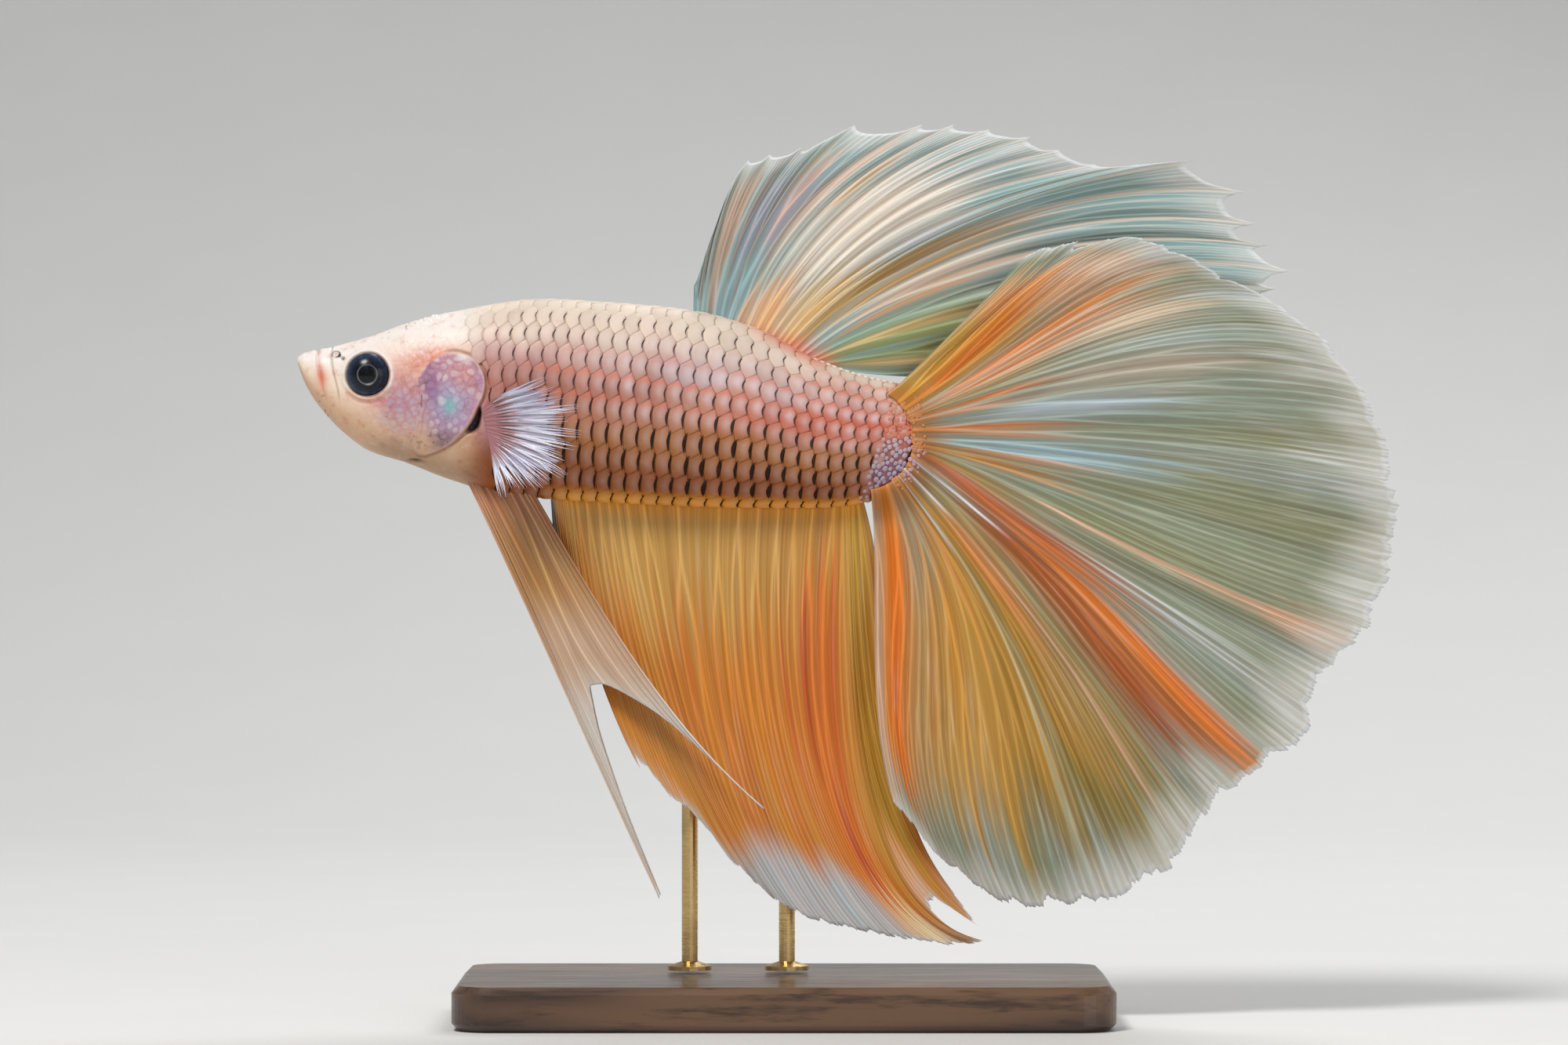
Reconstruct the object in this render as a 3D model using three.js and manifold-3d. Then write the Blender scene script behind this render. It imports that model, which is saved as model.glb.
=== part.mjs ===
// A halfmoon betta (Betta splendens, male) as a life-size still model on a small display stand.
// Millimetres, +Z up. The fish faces -X, its left side is towards -Y, and the plinth stands on z = 0
// with the origin at the centre of its underside.
import * as THREE from "three";
import { mergeVertices } from "three/addons/utils/BufferGeometryUtils.js";
import Module from "manifold-3d";

const wasm = await Module();
wasm.setup();

// ---- Driving dimensions ----
const GAP = 0.2; // clearance between neighbouring pieces
const FIN_THICKNESS = 0.55;
const ROOT_SINK = 0.5; // how far a fin's root line runs into the body before it is trimmed

// Stations of the body from snout to tail: x, height of the back, height of the belly, half width.
const BODY_STATIONS = [
  [-32.85, 44.8, 44.3, 0.35],
  [-32.4, 45.1, 43.0, 0.9],
  [-31.4, 45.3, 41.4, 1.3],
  [-29.6, 45.75, 39.5, 1.9],
  [-28.0, 46.2, 38.4, 2.35],
  [-25.5, 47.1, 37.6, 2.95],
  [-22.5, 47.9, 36.4, 3.45],
  [-20.0, 48.4, 35.6, 3.65],
  [-16.5, 48.8, 35.15, 3.85],
  [-11.5, 48.55, 34.85, 3.95],
  [-6.0, 48.0, 34.6, 3.75],
  [-1.5, 46.7, 34.5, 3.3],
  [2.1, 44.8, 34.5, 2.8],
  [5.3, 43.65, 34.8, 2.25],
  [8.0, 43.0, 35.7, 1.65],
  [9.6, 42.2, 37.0, 1.1],
  [10.3, 41.0, 38.4, 0.6],
];
const SECTION_POWER = 2.15; // 2 is an ellipse, and more is fuller
const BODY_RINGS = 31;
const BODY_SIDES = 24;

const GILL_EDGE_X = -19.6; // where the head ends and the trunk begins
const PEDUNCLE_X = 4.2; // where the trunk ends and the tail base begins

const EYE = { x: -28.0, z: 43.55, radius: 1.5, depth: 0.95, sink: 0.4 };
const GILL_COVER = { x: -22.5, z: 41.6, length: 2.6, height: 3.6, tilt: -0.36, thickness: 1.1 };
// The upturned mouth closes along a steep line, from the top of the snout down to the chin.
const MOUTH_LINE = [
  [-31.6, 46.0],
  [-31.45, 44.2],
  [-31.1, 42.4],
  [-30.2, 39.0],
];

// Rays of a fin: x of the root, tip x, tip z, and the angles at which the ray leaves and ends.
const DORSAL_RAYS = [
  [-6.1, -6.1, 49.7, 95, 90],
  [-5.8, -4.7, 53.5, 93, 72],
  [-5.2, -2.4, 58.1, 88, 62],
  [-3.8, 1.2, 59.0, 84, 48],
  [-2.4, 4.8, 60.5, 76, 38],
  [-1.2, 11.5, 60.5, 64, 27],
  [-0.3, 17.6, 59.5, 57, 16],
  [0.1, 22.4, 57.8, 53, 12],
  [0.5, 27.8, 58.1, 50, 8],
  [1.1, 31.3, 56.0, 42, -3],
  [1.6, 32.8, 52.6, 32, -6],
  [2.0, 34.4, 50.6, 20, -8],
  [2.5, 29.0, 45.6, -6, 4],
];
const ANAL_RAYS = [
  [-15.8, -15.4, 32.0, -84, -75],
  [-15.3, -13.4, 26.0, -83, -70],
  [-14.6, -9.6, 16.7, -83, -64],
  [-11.7, -3.3, 10.3, -83, -56],
  [-7.5, 2.1, 6.3, -84, -50],
  [-3.3, 6.9, 5.4, -86, -44],
  [0.8, 11.6, 4.7, -88, -26],
  [3.9, 14.0, 5.2, -86, -8],
  [4.6, 13.2, 6.3, -88, -32],
  [5.3, 10.3, 10.1, -80, -58],
];
// The caudal rays start on an ellipse at the end of the tail base, at the angle given first.
const CAUDAL_ROOT = { x: 5.4, z: 39.2, length: 4.2, height: 3.9 };
const CAUDAL_RAYS = [
  [62, 17.2, 52.5, 42, 46],
  [57, 19.7, 53.2, 42, 42],
  [50, 23.9, 53.1, 40, 14],
  [38, 30.7, 50.2, 33, -8],
  [26, 38.2, 44.8, 20, -20],
  [12, 41.6, 38.4, 6, -12],
  [-2, 42.2, 34.4, -6, -12],
  [-13, 41.2, 28.6, -20, -16],
  [-24, 39.0, 24.5, -32, -26],
  [-29, 37.1, 22.4, -36, -32],
  [-34, 36.6, 19.1, -40, -38],
  [-42, 32.1, 15.9, -46, -42],
  [-50, 27.9, 10.7, -52, -58],
  [-58, 21.2, 7.2, -60, -68],
  [-66, 17.2, 6.5, -68, -64],
  [-74, 11.9, 9.3, -80, -60],
  [-82, 7.7, 13.8, -84, -70],
];
const PECTORAL_ROOT = [
  [-20.3, 41.2],
  [-19.7, 38.6],
];
const PECTORAL_RAYS = [
  [0.0, -15.7, 43.8, 42, 30],
  [0.2, -13.6, 41.9, 20, 12],
  [0.4, -13.1, 39.9, 2, -4],
  [0.6, -13.6, 37.4, -20, -24],
  [0.8, -16.0, 35.1, -46, -54],
  [1.0, -19.3, 35.2, -80, -90],
];
// Each pelvic fin is two blades joined into one, along its leading edge and along its trailing edge.
// Widths run from root to tip, and drop where the web ends and the free filament begins.
const PELVIC_LEADING = {
  edge: [-21.6, 36.3, -8.5, 8.3, -64, -64.5],
  widths: [
    [0, 2.0],
    [0.3, 2.6],
    [0.45, 2.7],
    [0.5, 1.9],
    [0.6, 0.85],
    [0.8, 0.7],
    [1, 0.5],
  ],
};
const PELVIC_TRAILING = {
  edge: [-17.7, 35.4, -1.3, 14.4, -60, -40],
  widths: [
    [0, 2.0],
    [0.3, 2.5],
    [0.54, 2.9],
    [0.59, 1.6],
    [0.7, 0.85],
    [0.85, 0.7],
    [1, 0.5],
  ],
};

const PLINTH = { length: 44, depth: 25, height: 3.0, corner: 2.2, bevel: 0.5 };
const ROD = { radius: 0.55, flange: 1.5, flangeHeight: 0.6, y: 2.3, xs: [-6.4, 0.2] };

// ---- Small maths ----
const radians = THREE.MathUtils.degToRad;
const clamp01 = (t) => Math.min(1, Math.max(0, t));

function smoothstep(low, high, t) {
  const s = clamp01((t - low) / (high - low));
  return s * s * (3 - 2 * s);
}

// A smooth curve through points that never overshoots them.
function smoothThrough(xs, ys) {
  const last = xs.length - 1;
  const secants = xs.slice(1).map((x, i) => (ys[i + 1] - ys[i]) / (x - xs[i]));
  const slopes = xs.map((_, i) => {
    if (i === 0) return secants[0];
    if (i === last) return secants[last - 1];
    const product = secants[i - 1] * secants[i];
    return product <= 0 ? 0 : (2 * product) / (secants[i - 1] + secants[i]);
  });
  return (x) => {
    let i = 0;
    while (i < last - 1 && x > xs[i + 1]) i += 1;
    const width = xs[i + 1] - xs[i];
    const t = clamp01((x - xs[i]) / width);
    const t2 = t * t;
    const t3 = t2 * t;
    return (
      (2 * t3 - 3 * t2 + 1) * ys[i] +
      (t3 - 2 * t2 + t) * width * slopes[i] +
      (3 * t2 - 2 * t3) * ys[i + 1] +
      (t3 - t2) * width * slopes[i + 1]
    );
  };
}

// One smooth curve for each column of a table, over its row number or over its first column.
const overRows = (rows) =>
  rows[0].map((_, column) =>
    smoothThrough(
      rows.map((_, i) => i),
      rows.map((row) => row[column]),
    ),
  );
const overFirst = (rows) =>
  rows[0].slice(1).map((_, column) =>
    smoothThrough(
      rows.map((row) => row[0]),
      rows.map((row) => row[column + 1]),
    ),
  );

// A point on a fin ray in the side plane: a cubic that leaves the root and meets the tip at given angles.
function alongRay(root, tip, leave, arrive, t) {
  const chord = Math.hypot(tip[0] - root[0], tip[1] - root[1]);
  const starts = [Math.cos(radians(leave)) * chord, Math.sin(radians(leave)) * chord];
  const ends = [Math.cos(radians(arrive)) * chord, Math.sin(radians(arrive)) * chord];
  const t2 = t * t;
  const t3 = t2 * t;
  return [0, 1].map(
    (k) =>
      (2 * t3 - 3 * t2 + 1) * root[k] +
      (t3 - 2 * t2 + t) * starts[k] +
      (3 * t2 - 2 * t3) * tip[k] +
      (t3 - t2) * ends[k],
  );
}

// ---- Solids ----
function geometryOf(vertices, faces) {
  const geometry = new THREE.BufferGeometry();
  geometry.setAttribute("position", new THREE.Float32BufferAttribute(vertices.flat(), 3));
  geometry.setIndex(faces.flat());
  return geometry;
}

function toSolid(geometry) {
  const bare = geometry.clone();
  bare.deleteAttribute("normal");
  bare.deleteAttribute("uv");
  const merged = mergeVertices(bare, 1e-4);
  return new wasm.Manifold(
    new wasm.Mesh({
      numProp: 3,
      vertProperties: merged.attributes.position.array,
      triVerts: new Uint32Array(merged.index.array),
    }),
  );
}

// A solid from a closed surface, whichever way round its faces are listed.
function closedSolid(vertices, faces) {
  const solid = toSolid(geometryOf(vertices, faces));
  if (solid.volume() > 0) return solid;
  return toSolid(geometryOf(vertices, faces.map(([a, b, c]) => [a, c, b])));
}

function toGeometry(solid) {
  const mesh = solid.getMesh();
  const positions = [];
  for (let i = 0; i < mesh.numVert; i += 1) {
    positions.push(...mesh.vertProperties.subarray(i * mesh.numProp, i * mesh.numProp + 3));
  }
  const geometry = new THREE.BufferGeometry();
  geometry.setAttribute("position", new THREE.Float32BufferAttribute(positions, 3));
  geometry.setIndex(new THREE.BufferAttribute(mesh.triVerts, 1));
  return geometry;
}

// The largest piece of a solid, so that a trimmed sliver doesn't stay with it.
const mainPiece = (solid) => solid.decompose().sort((a, b) => b.volume() - a.volume())[0];

// A sheet with thickness along Y: pointAt(i, j) gives its middle surface on a grid of nu by nv cells.
function slab(pointAt, nu, nv, thickness) {
  const vertices = [];
  const faces = [];
  const side = (nu + 1) * (nv + 1);
  for (const offset of [-thickness / 2, thickness / 2]) {
    for (let i = 0; i <= nu; i += 1) {
      for (let j = 0; j <= nv; j += 1) {
        const [x, y, z] = pointAt(i, j);
        vertices.push([x, y + offset, z]);
      }
    }
  }
  const at = (i, j) => i * (nv + 1) + j;
  const quad = (a, b, c, d) => faces.push([a, b, c], [a, c, d]);
  for (let i = 0; i < nu; i += 1) {
    for (let j = 0; j < nv; j += 1) {
      quad(at(i, j), at(i, j + 1), at(i + 1, j + 1), at(i + 1, j));
      quad(side + at(i, j), side + at(i + 1, j), side + at(i + 1, j + 1), side + at(i, j + 1));
    }
  }
  const rim = (a, b) => quad(a, b, side + b, side + a);
  for (let i = 0; i < nu; i += 1) {
    rim(at(i, 0), at(i + 1, 0));
    rim(at(i + 1, nv), at(i, nv));
  }
  for (let j = 0; j < nv; j += 1) {
    rim(at(0, j + 1), at(0, j));
    rim(at(nu, j), at(nu, j + 1));
  }
  return closedSolid(vertices, faces);
}

// A prism along Y of a closed outline in the side plane.
function prism(outline, yLow, yHigh) {
  const shape = new THREE.Shape(outline.map(([x, z]) => new THREE.Vector2(x, z)));
  const geometry = new THREE.ExtrudeGeometry(shape, { depth: yHigh - yLow, bevelEnabled: false });
  geometry.rotateX(Math.PI / 2); // the outline's second axis becomes Z, and the depth runs to -Y
  geometry.translate(0, yHigh, 0);
  return toSolid(geometry);
}

const EVERYWHERE = 100;
const between = (xLow, xHigh) =>
  prism(
    [
      [xLow, -EVERYWHERE],
      [xHigh, -EVERYWHERE],
      [xHigh, EVERYWHERE],
      [xLow, EVERYWHERE],
    ],
    -EVERYWHERE,
    EVERYWHERE,
  );

// ---- Body ----
const [backAt, bellyAt, halfWidthAt] = overFirst(BODY_STATIONS);
const SNOUT_X = BODY_STATIONS[0][0];
const BODY_END_X = BODY_STATIONS[BODY_STATIONS.length - 1][0];

const signedPower = (value, power) => Math.sign(value) * Math.abs(value) ** power;

// The whole body as one solid, from snout to tail base, standing out by grow on every side.
function bodySolid(grow) {
  const vertices = [];
  const faces = [];
  for (let ring = 0; ring <= BODY_RINGS; ring += 1) {
    const share = ring / BODY_RINGS;
    const crowded = (1 - Math.cos(Math.PI * share)) / 2; // rings close up towards both ends
    const along = 0.5 * share + 0.5 * crowded;
    const x = SNOUT_X + (BODY_END_X - SNOUT_X) * along;
    const middle = (backAt(x) + bellyAt(x)) / 2;
    const halfHeight = (backAt(x) - bellyAt(x)) / 2 + grow;
    const halfWidth = halfWidthAt(x) + grow;
    const xGrown = x + grow * (2 * along - 1);
    for (let side = 0; side < BODY_SIDES; side += 1) {
      const angle = (2 * Math.PI * side) / BODY_SIDES;
      vertices.push([
        xGrown,
        halfWidth * signedPower(Math.cos(angle), 2 / SECTION_POWER),
        middle + halfHeight * signedPower(Math.sin(angle), 2 / SECTION_POWER),
      ]);
    }
  }
  const at = (ring, side) => ring * BODY_SIDES + (side % BODY_SIDES);
  for (let ring = 0; ring < BODY_RINGS; ring += 1) {
    for (let side = 0; side < BODY_SIDES; side += 1) {
      faces.push([at(ring, side), at(ring + 1, side + 1), at(ring, side + 1)]);
      faces.push([at(ring, side), at(ring + 1, side), at(ring + 1, side + 1)]);
    }
  }
  for (let side = 1; side < BODY_SIDES - 1; side += 1) {
    faces.push([at(0, 0), at(0, side), at(0, side + 1)]);
    faces.push([at(BODY_RINGS, 0), at(BODY_RINGS, side + 1), at(BODY_RINGS, side)]);
  }
  return closedSolid(vertices, faces);
}

const body = bodySolid(0);
const bodyWithRoom = bodySolid(GAP);

function eyeball(sign, grow) {
  const geometry = new THREE.SphereGeometry(1, 16, 8);
  geometry.scale(EYE.radius + grow, EYE.depth + grow, EYE.radius + grow);
  geometry.translate(EYE.x, sign * (halfWidthAt(EYE.x) - EYE.sink), EYE.z);
  return toSolid(geometry);
}

// The side plate over one gill: an ellipse cut into the cheek to an even depth.
function gillCoverTool(sign, grow) {
  const shape = new THREE.Shape();
  shape.absellipse(0, 0, GILL_COVER.length + grow, GILL_COVER.height + grow, 0, 2 * Math.PI, false, GILL_COVER.tilt);
  const geometry = new THREE.ExtrudeGeometry(shape, { depth: 4, bevelEnabled: false, curveSegments: 10 });
  geometry.rotateX(Math.PI / 2);
  const inner = halfWidthAt(GILL_COVER.x) - GILL_COVER.thickness - grow;
  geometry.translate(GILL_COVER.x, sign > 0 ? inner + 4 : -inner, GILL_COVER.z);
  return toSolid(geometry);
}

// Everything in front of the mouth line.
function jawTool(grow) {
  const line = MOUTH_LINE.map(([x, z]) => [x + grow, z]);
  const [top, chin] = [line[0][1], line[line.length - 1][1]];
  return prism([...line, [SNOUT_X - 2, chin], [SNOUT_X - 2, top]], -EVERYWHERE, EVERYWHERE);
}

function headPieces() {
  const whole = body.intersect(between(-EVERYWHERE, GILL_EDGE_X - GAP / 2));
  let head = whole.subtract(jawTool(GAP));
  const pieces = { lower_jaw: mainPiece(whole.intersect(jawTool(0))) };
  for (const [side, sign] of [
    ["left", -1],
    ["right", 1],
  ]) {
    head = head.subtract(eyeball(sign, GAP)).subtract(gillCoverTool(sign, GAP));
    pieces[`eye_${side}`] = eyeball(sign, 0);
    pieces[`gill_cover_${side}`] = mainPiece(whole.intersect(gillCoverTool(sign, 0)));
  }
  pieces.head = mainPiece(head);
  return pieces;
}

// ---- Fins ----
// How a margin dips between ray tips: 1 at each tip, less a narrow-shouldered hollow between them.
const margin = (r, depth, sharpness) => 1 - depth * (1 - Math.abs(2 * (r - Math.floor(r)) - 1) ** sharpness);

// A fin drawn by its rays: rootOf gives a ray's start in the side plane, sway its distance out of that
// plane, and dip how deep the margin is cut between neighbouring tips.
function rayFin({ rays, rootOf, sway, dip, cellsPerRay, cellsAlong }) {
  const [rootAt, tipXAt, tipZAt, leaveAt, arriveAt] = overRows(rays);
  const nu = (rays.length - 1) * cellsPerRay;
  const fin = slab(
    (i, j) => {
      const r = i / cellsPerRay;
      const v = j / cellsAlong;
      const reach = v * margin(r, dip(r), 3);
      const tip = [tipXAt(r), tipZAt(r)];
      const [x, z] = alongRay(rootOf(rootAt(r)), tip, leaveAt(r), arriveAt(r), reach);
      return [x, sway(r, v), z];
    },
    nu,
    cellsAlong,
    FIN_THICKNESS,
  );
  return mainPiece(fin.subtract(bodyWithRoom));
}

// Each fin waves out of the side plane more towards its margin.
const ripple = (r, phase) => Math.sin(2.1 * r + phase) + 0.5 * Math.sin(3.7 * r + 2 * phase);

// The rear of the dorsal fin and of the anal fin pass behind the caudal fin, which bows the other way.
const dorsalSway = (r, v) => 1.5 * smoothstep(5, 10.5, r) * smoothstep(0, 0.3, v) + 0.3 * v * ripple(r, 0.4);
const analSway = (r, v) => 1.3 * smoothstep(4.5, 8, r) * smoothstep(0, 0.5, v) - 0.3 * v + 0.32 * v * ripple(r, 1.7);
const caudalSway = (r, v) => -1.0 * smoothstep(0, 0.7, v) + 0.5 * v ** 1.3 * ripple(r, 0.9);

const dorsalFin = () =>
  rayFin({
    rays: DORSAL_RAYS,
    rootOf: (x) => [x, backAt(x) - ROOT_SINK],
    sway: dorsalSway,
    dip: (r) => 0.02 + 0.045 * smoothstep(6.5, 8.5, r),
    cellsPerRay: 4,
    cellsAlong: 6,
  });

const analFin = () =>
  rayFin({
    rays: ANAL_RAYS,
    rootOf: (x) => [x, bellyAt(x) + ROOT_SINK],
    sway: analSway,
    dip: (r) => 0.02 + 0.12 * smoothstep(6.9, 7.1, r) * (1 - smoothstep(7.9, 8.1, r)),
    cellsPerRay: 3,
    cellsAlong: 7,
  });

const caudalFin = () =>
  rayFin({
    rays: CAUDAL_RAYS,
    rootOf: (angle) => [
      CAUDAL_ROOT.x + CAUDAL_ROOT.length * Math.cos(radians(angle)),
      CAUDAL_ROOT.z + CAUDAL_ROOT.height * Math.sin(radians(angle)),
    ],
    sway: caudalSway,
    dip: () => 0.012,
    cellsPerRay: 3,
    cellsAlong: 7,
  });

const PECTORAL_OUT = { root: 3.5, spread: 2.3 };

const pectoralFin = (sign) =>
  rayFin({
    rays: PECTORAL_RAYS,
    rootOf: (share) => [0, 1].map((k) => THREE.MathUtils.lerp(PECTORAL_ROOT[0][k], PECTORAL_ROOT[1][k], share)),
    sway: (r, v) => sign * (PECTORAL_OUT.root + PECTORAL_OUT.spread * v),
    dip: () => 0.06,
    cellsPerRay: 2,
    cellsAlong: 4,
  });

const PELVIC_ROOT_Y = 0.8;
const PELVIC_LEAN = { left: 0.06, right: 0.018 }; // outwards, for each unit down
const PELVIC_CELLS = 14;

// One flat blade of a pelvic fin. It widens from its edge to the inside: inward is 1 or -1.
function pelvicBlade({ edge, widths }, inward) {
  const [rootX, rootZ, tipX, tipZ, leave, arrive] = edge;
  const [widthAt] = overFirst(widths);
  const on = (t) => alongRay([rootX, rootZ], [tipX, tipZ], leave, arrive, t);
  return slab(
    (i, j) => {
      const t = j / PELVIC_CELLS;
      const [x, z] = on(t);
      const [ax, az] = on(Math.max(0, t - 0.02));
      const [bx, bz] = on(Math.min(1, t + 0.02));
      const across = (inward * widthAt(t) * i) / Math.hypot(bx - ax, bz - az);
      return [x - (bz - az) * across, 0, z + (bx - ax) * across];
    },
    1,
    PELVIC_CELLS,
    FIN_THICKNESS,
  );
}

function pelvicFin(sign, lean) {
  const flat = pelvicBlade(PELVIC_LEADING, 1).add(pelvicBlade(PELVIC_TRAILING, -1));
  const rootZ = PELVIC_LEADING.edge[1];
  const outwards = new THREE.Matrix4().makeTranslation(0, sign * PELVIC_ROOT_Y, rootZ);
  outwards.multiply(new THREE.Matrix4().makeShear(0, 0, 0, 0, 0, -sign * lean));
  outwards.multiply(new THREE.Matrix4().makeTranslation(0, 0, -rootZ));
  const leaning = toSolid(toGeometry(flat).applyMatrix4(outwards));
  return mainPiece(leaning.subtract(bodyWithRoom));
}

// ---- Stand ----
function plinth() {
  const arcX = PLINTH.length / 2 - PLINTH.bevel - PLINTH.corner;
  const arcY = PLINTH.depth / 2 - PLINTH.bevel - PLINTH.corner;
  const shape = new THREE.Shape();
  shape.absarc(arcX, arcY, PLINTH.corner, 0, Math.PI / 2);
  shape.absarc(-arcX, arcY, PLINTH.corner, Math.PI / 2, Math.PI);
  shape.absarc(-arcX, -arcY, PLINTH.corner, Math.PI, 1.5 * Math.PI);
  shape.absarc(arcX, -arcY, PLINTH.corner, 1.5 * Math.PI, 2 * Math.PI);
  const geometry = new THREE.ExtrudeGeometry(shape, {
    depth: PLINTH.height - 2 * PLINTH.bevel,
    bevelThickness: PLINTH.bevel,
    bevelSize: PLINTH.bevel,
    bevelSegments: 1,
    curveSegments: 5,
  });
  geometry.translate(0, 0, PLINTH.bevel);
  return toSolid(geometry);
}

// A rod on a small foot flange, trimmed to the underside of the body that it carries.
function rod(x) {
  const foot = PLINTH.height + GAP;
  const top = (backAt(x) + bellyAt(x)) / 2;
  const profile = [
    [0, foot],
    [ROD.flange, foot],
    [ROD.flange, foot + ROD.flangeHeight / 2],
    [ROD.radius, foot + ROD.flangeHeight],
    [ROD.radius, top],
    [0, top],
  ].map(([radius, z]) => new THREE.Vector2(radius, z));
  const geometry = new THREE.LatheGeometry(profile, 16);
  geometry.rotateX(Math.PI / 2);
  geometry.translate(x, ROD.y, 0);
  return mainPiece(toSolid(geometry).subtract(bodyWithRoom));
}

// ---- The model ----
const material = (color, roughness, metalness = 0) => new THREE.MeshStandardMaterial({ color, roughness, metalness });
const MATERIALS = {
  skin: material(0xe3b49c, 0.4),
  gill: material(0xc9aab8, 0.3),
  eye: material(0x0c1018, 0.08),
  pale_fin: material(0xc5cfc6, 0.45),
  orange_fin: material(0xe8a35c, 0.45),
  caudal: material(0xd9b58c, 0.45),
  pectoral: material(0xe6e2ea, 0.4),
  wood: material(0x4a2f20, 0.45),
  brass: material(0xb08d4f, 0.3, 1),
};

const fish = new THREE.Group();

function add(name, solid, finish) {
  const mesh = new THREE.Mesh(toGeometry(solid), MATERIALS[finish]);
  mesh.name = name;
  fish.add(mesh);
}

const heads = headPieces();
add("head", heads.head, "skin");
add("lower_jaw", heads.lower_jaw, "skin");
add("trunk", mainPiece(body.intersect(between(GILL_EDGE_X + GAP / 2, PEDUNCLE_X - GAP / 2))), "skin");
add("tail_base", mainPiece(body.intersect(between(PEDUNCLE_X + GAP / 2, EVERYWHERE))), "skin");
add("dorsal_fin", dorsalFin(), "pale_fin");
add("caudal_fin", caudalFin(), "caudal");
add("anal_fin", analFin(), "orange_fin");
for (const [side, sign] of [
  ["left", -1],
  ["right", 1],
]) {
  add(`eye_${side}`, heads[`eye_${side}`], "eye");
  add(`gill_cover_${side}`, heads[`gill_cover_${side}`], "gill");
  add(`pectoral_fin_${side}`, pectoralFin(sign), "pectoral");
  add(`pelvic_fin_${side}`, pelvicFin(sign, PELVIC_LEAN[side]), "orange_fin");
}
add("stand_plinth", plinth(), "wood");
add("stand_rod_front", rod(ROD.xs[0]), "brass");
add("stand_rod_rear", rod(ROD.xs[1]), "brass");

export default fish;
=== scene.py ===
"""The look of a halfmoon betta on its display stand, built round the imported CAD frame.

Shapes are worked out in millimetres and become metres when a mesh is made. The fish faces -X, its left
side is towards -Y, and +Z is up.
"""

import math

import bpy
import numpy as np
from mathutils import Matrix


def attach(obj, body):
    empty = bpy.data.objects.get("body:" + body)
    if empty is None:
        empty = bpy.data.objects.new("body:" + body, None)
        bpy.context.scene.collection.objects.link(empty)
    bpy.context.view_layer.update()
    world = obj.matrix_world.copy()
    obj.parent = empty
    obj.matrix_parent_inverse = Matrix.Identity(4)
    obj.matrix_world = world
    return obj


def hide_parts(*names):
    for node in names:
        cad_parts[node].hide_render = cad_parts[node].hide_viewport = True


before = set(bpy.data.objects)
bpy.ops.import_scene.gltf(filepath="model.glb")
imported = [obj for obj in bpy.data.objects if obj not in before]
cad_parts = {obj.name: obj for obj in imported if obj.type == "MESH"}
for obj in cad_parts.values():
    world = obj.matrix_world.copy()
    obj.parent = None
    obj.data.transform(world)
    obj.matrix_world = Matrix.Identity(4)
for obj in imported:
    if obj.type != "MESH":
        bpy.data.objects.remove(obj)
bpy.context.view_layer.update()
MM = 0.001

# ---------------------------------------------------------------- small maths


def clamp01(t):
    return np.clip(t, 0.0, 1.0)


def rise(low, high, t):
    """0 up to low and 1 from high on, with a smooth step between. With low above high it steps down."""
    s = clamp01((t - low) / (high - low))
    return s * s * (3 - 2 * s)


def fall(low, high, t):
    return 1 - rise(low, high, t)


def bump(x, centre, width):
    return np.exp(-(((x - centre) / width) ** 2))


def mix(a, b, t):
    return a + (b - a) * t


def smooth_through(xs, ys):
    """A smooth curve through points that never overshoots them."""
    xs, ys = np.asarray(xs, float), np.asarray(ys, float)
    secants = np.diff(ys) / np.diff(xs)
    slopes = np.concatenate([secants[:1], np.zeros(len(xs) - 2), secants[-1:]])
    product = secants[:-1] * secants[1:]
    total = np.where(product > 0, secants[:-1] + secants[1:], 1.0)
    slopes[1:-1] = np.where(product > 0, 2 * product / total, 0.0)

    def at(x):
        x = np.asarray(x, float)
        i = np.clip(np.searchsorted(xs, x, side="right") - 1, 0, len(xs) - 2)
        width = xs[i + 1] - xs[i]
        t = clamp01((x - xs[i]) / width)
        t2, t3 = t * t, t * t * t
        points = (2 * t3 - 3 * t2 + 1) * ys[i] + (3 * t2 - 2 * t3) * ys[i + 1]
        return points + width * ((t3 - 2 * t2 + t) * slopes[i] + (t3 - t2) * slopes[i + 1])

    return at


def chance(ix, iy, seed=0):
    """A repeatable random number from 0 to 1 for each pair of whole numbers."""
    ix, iy = np.asarray(ix).astype(np.int64), np.asarray(iy).astype(np.int64)
    h = (ix * 374761393 + iy * 668265263 + seed * 974634777) & 0xFFFFFFFF
    h = ((h ^ (h >> 13)) * 1274126177) & 0xFFFFFFFF
    return ((h ^ (h >> 16)) & 0xFFFF) / 65535.0


def noise(x, y, seed=0):
    """Smooth noise from -1 to 1 with features about one unit across."""
    x, y = np.broadcast_arrays(np.asarray(x, float), np.asarray(y, float))
    ix, iy = np.floor(x), np.floor(y)
    fx, fy = x - ix, y - iy
    fx, fy = fx * fx * (3 - 2 * fx), fy * fy * (3 - 2 * fy)
    low = mix(chance(ix, iy, seed), chance(ix + 1, iy, seed), fx)
    high = mix(chance(ix, iy + 1, seed), chance(ix + 1, iy + 1, seed), fx)
    return 2 * mix(low, high, fy) - 1


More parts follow.
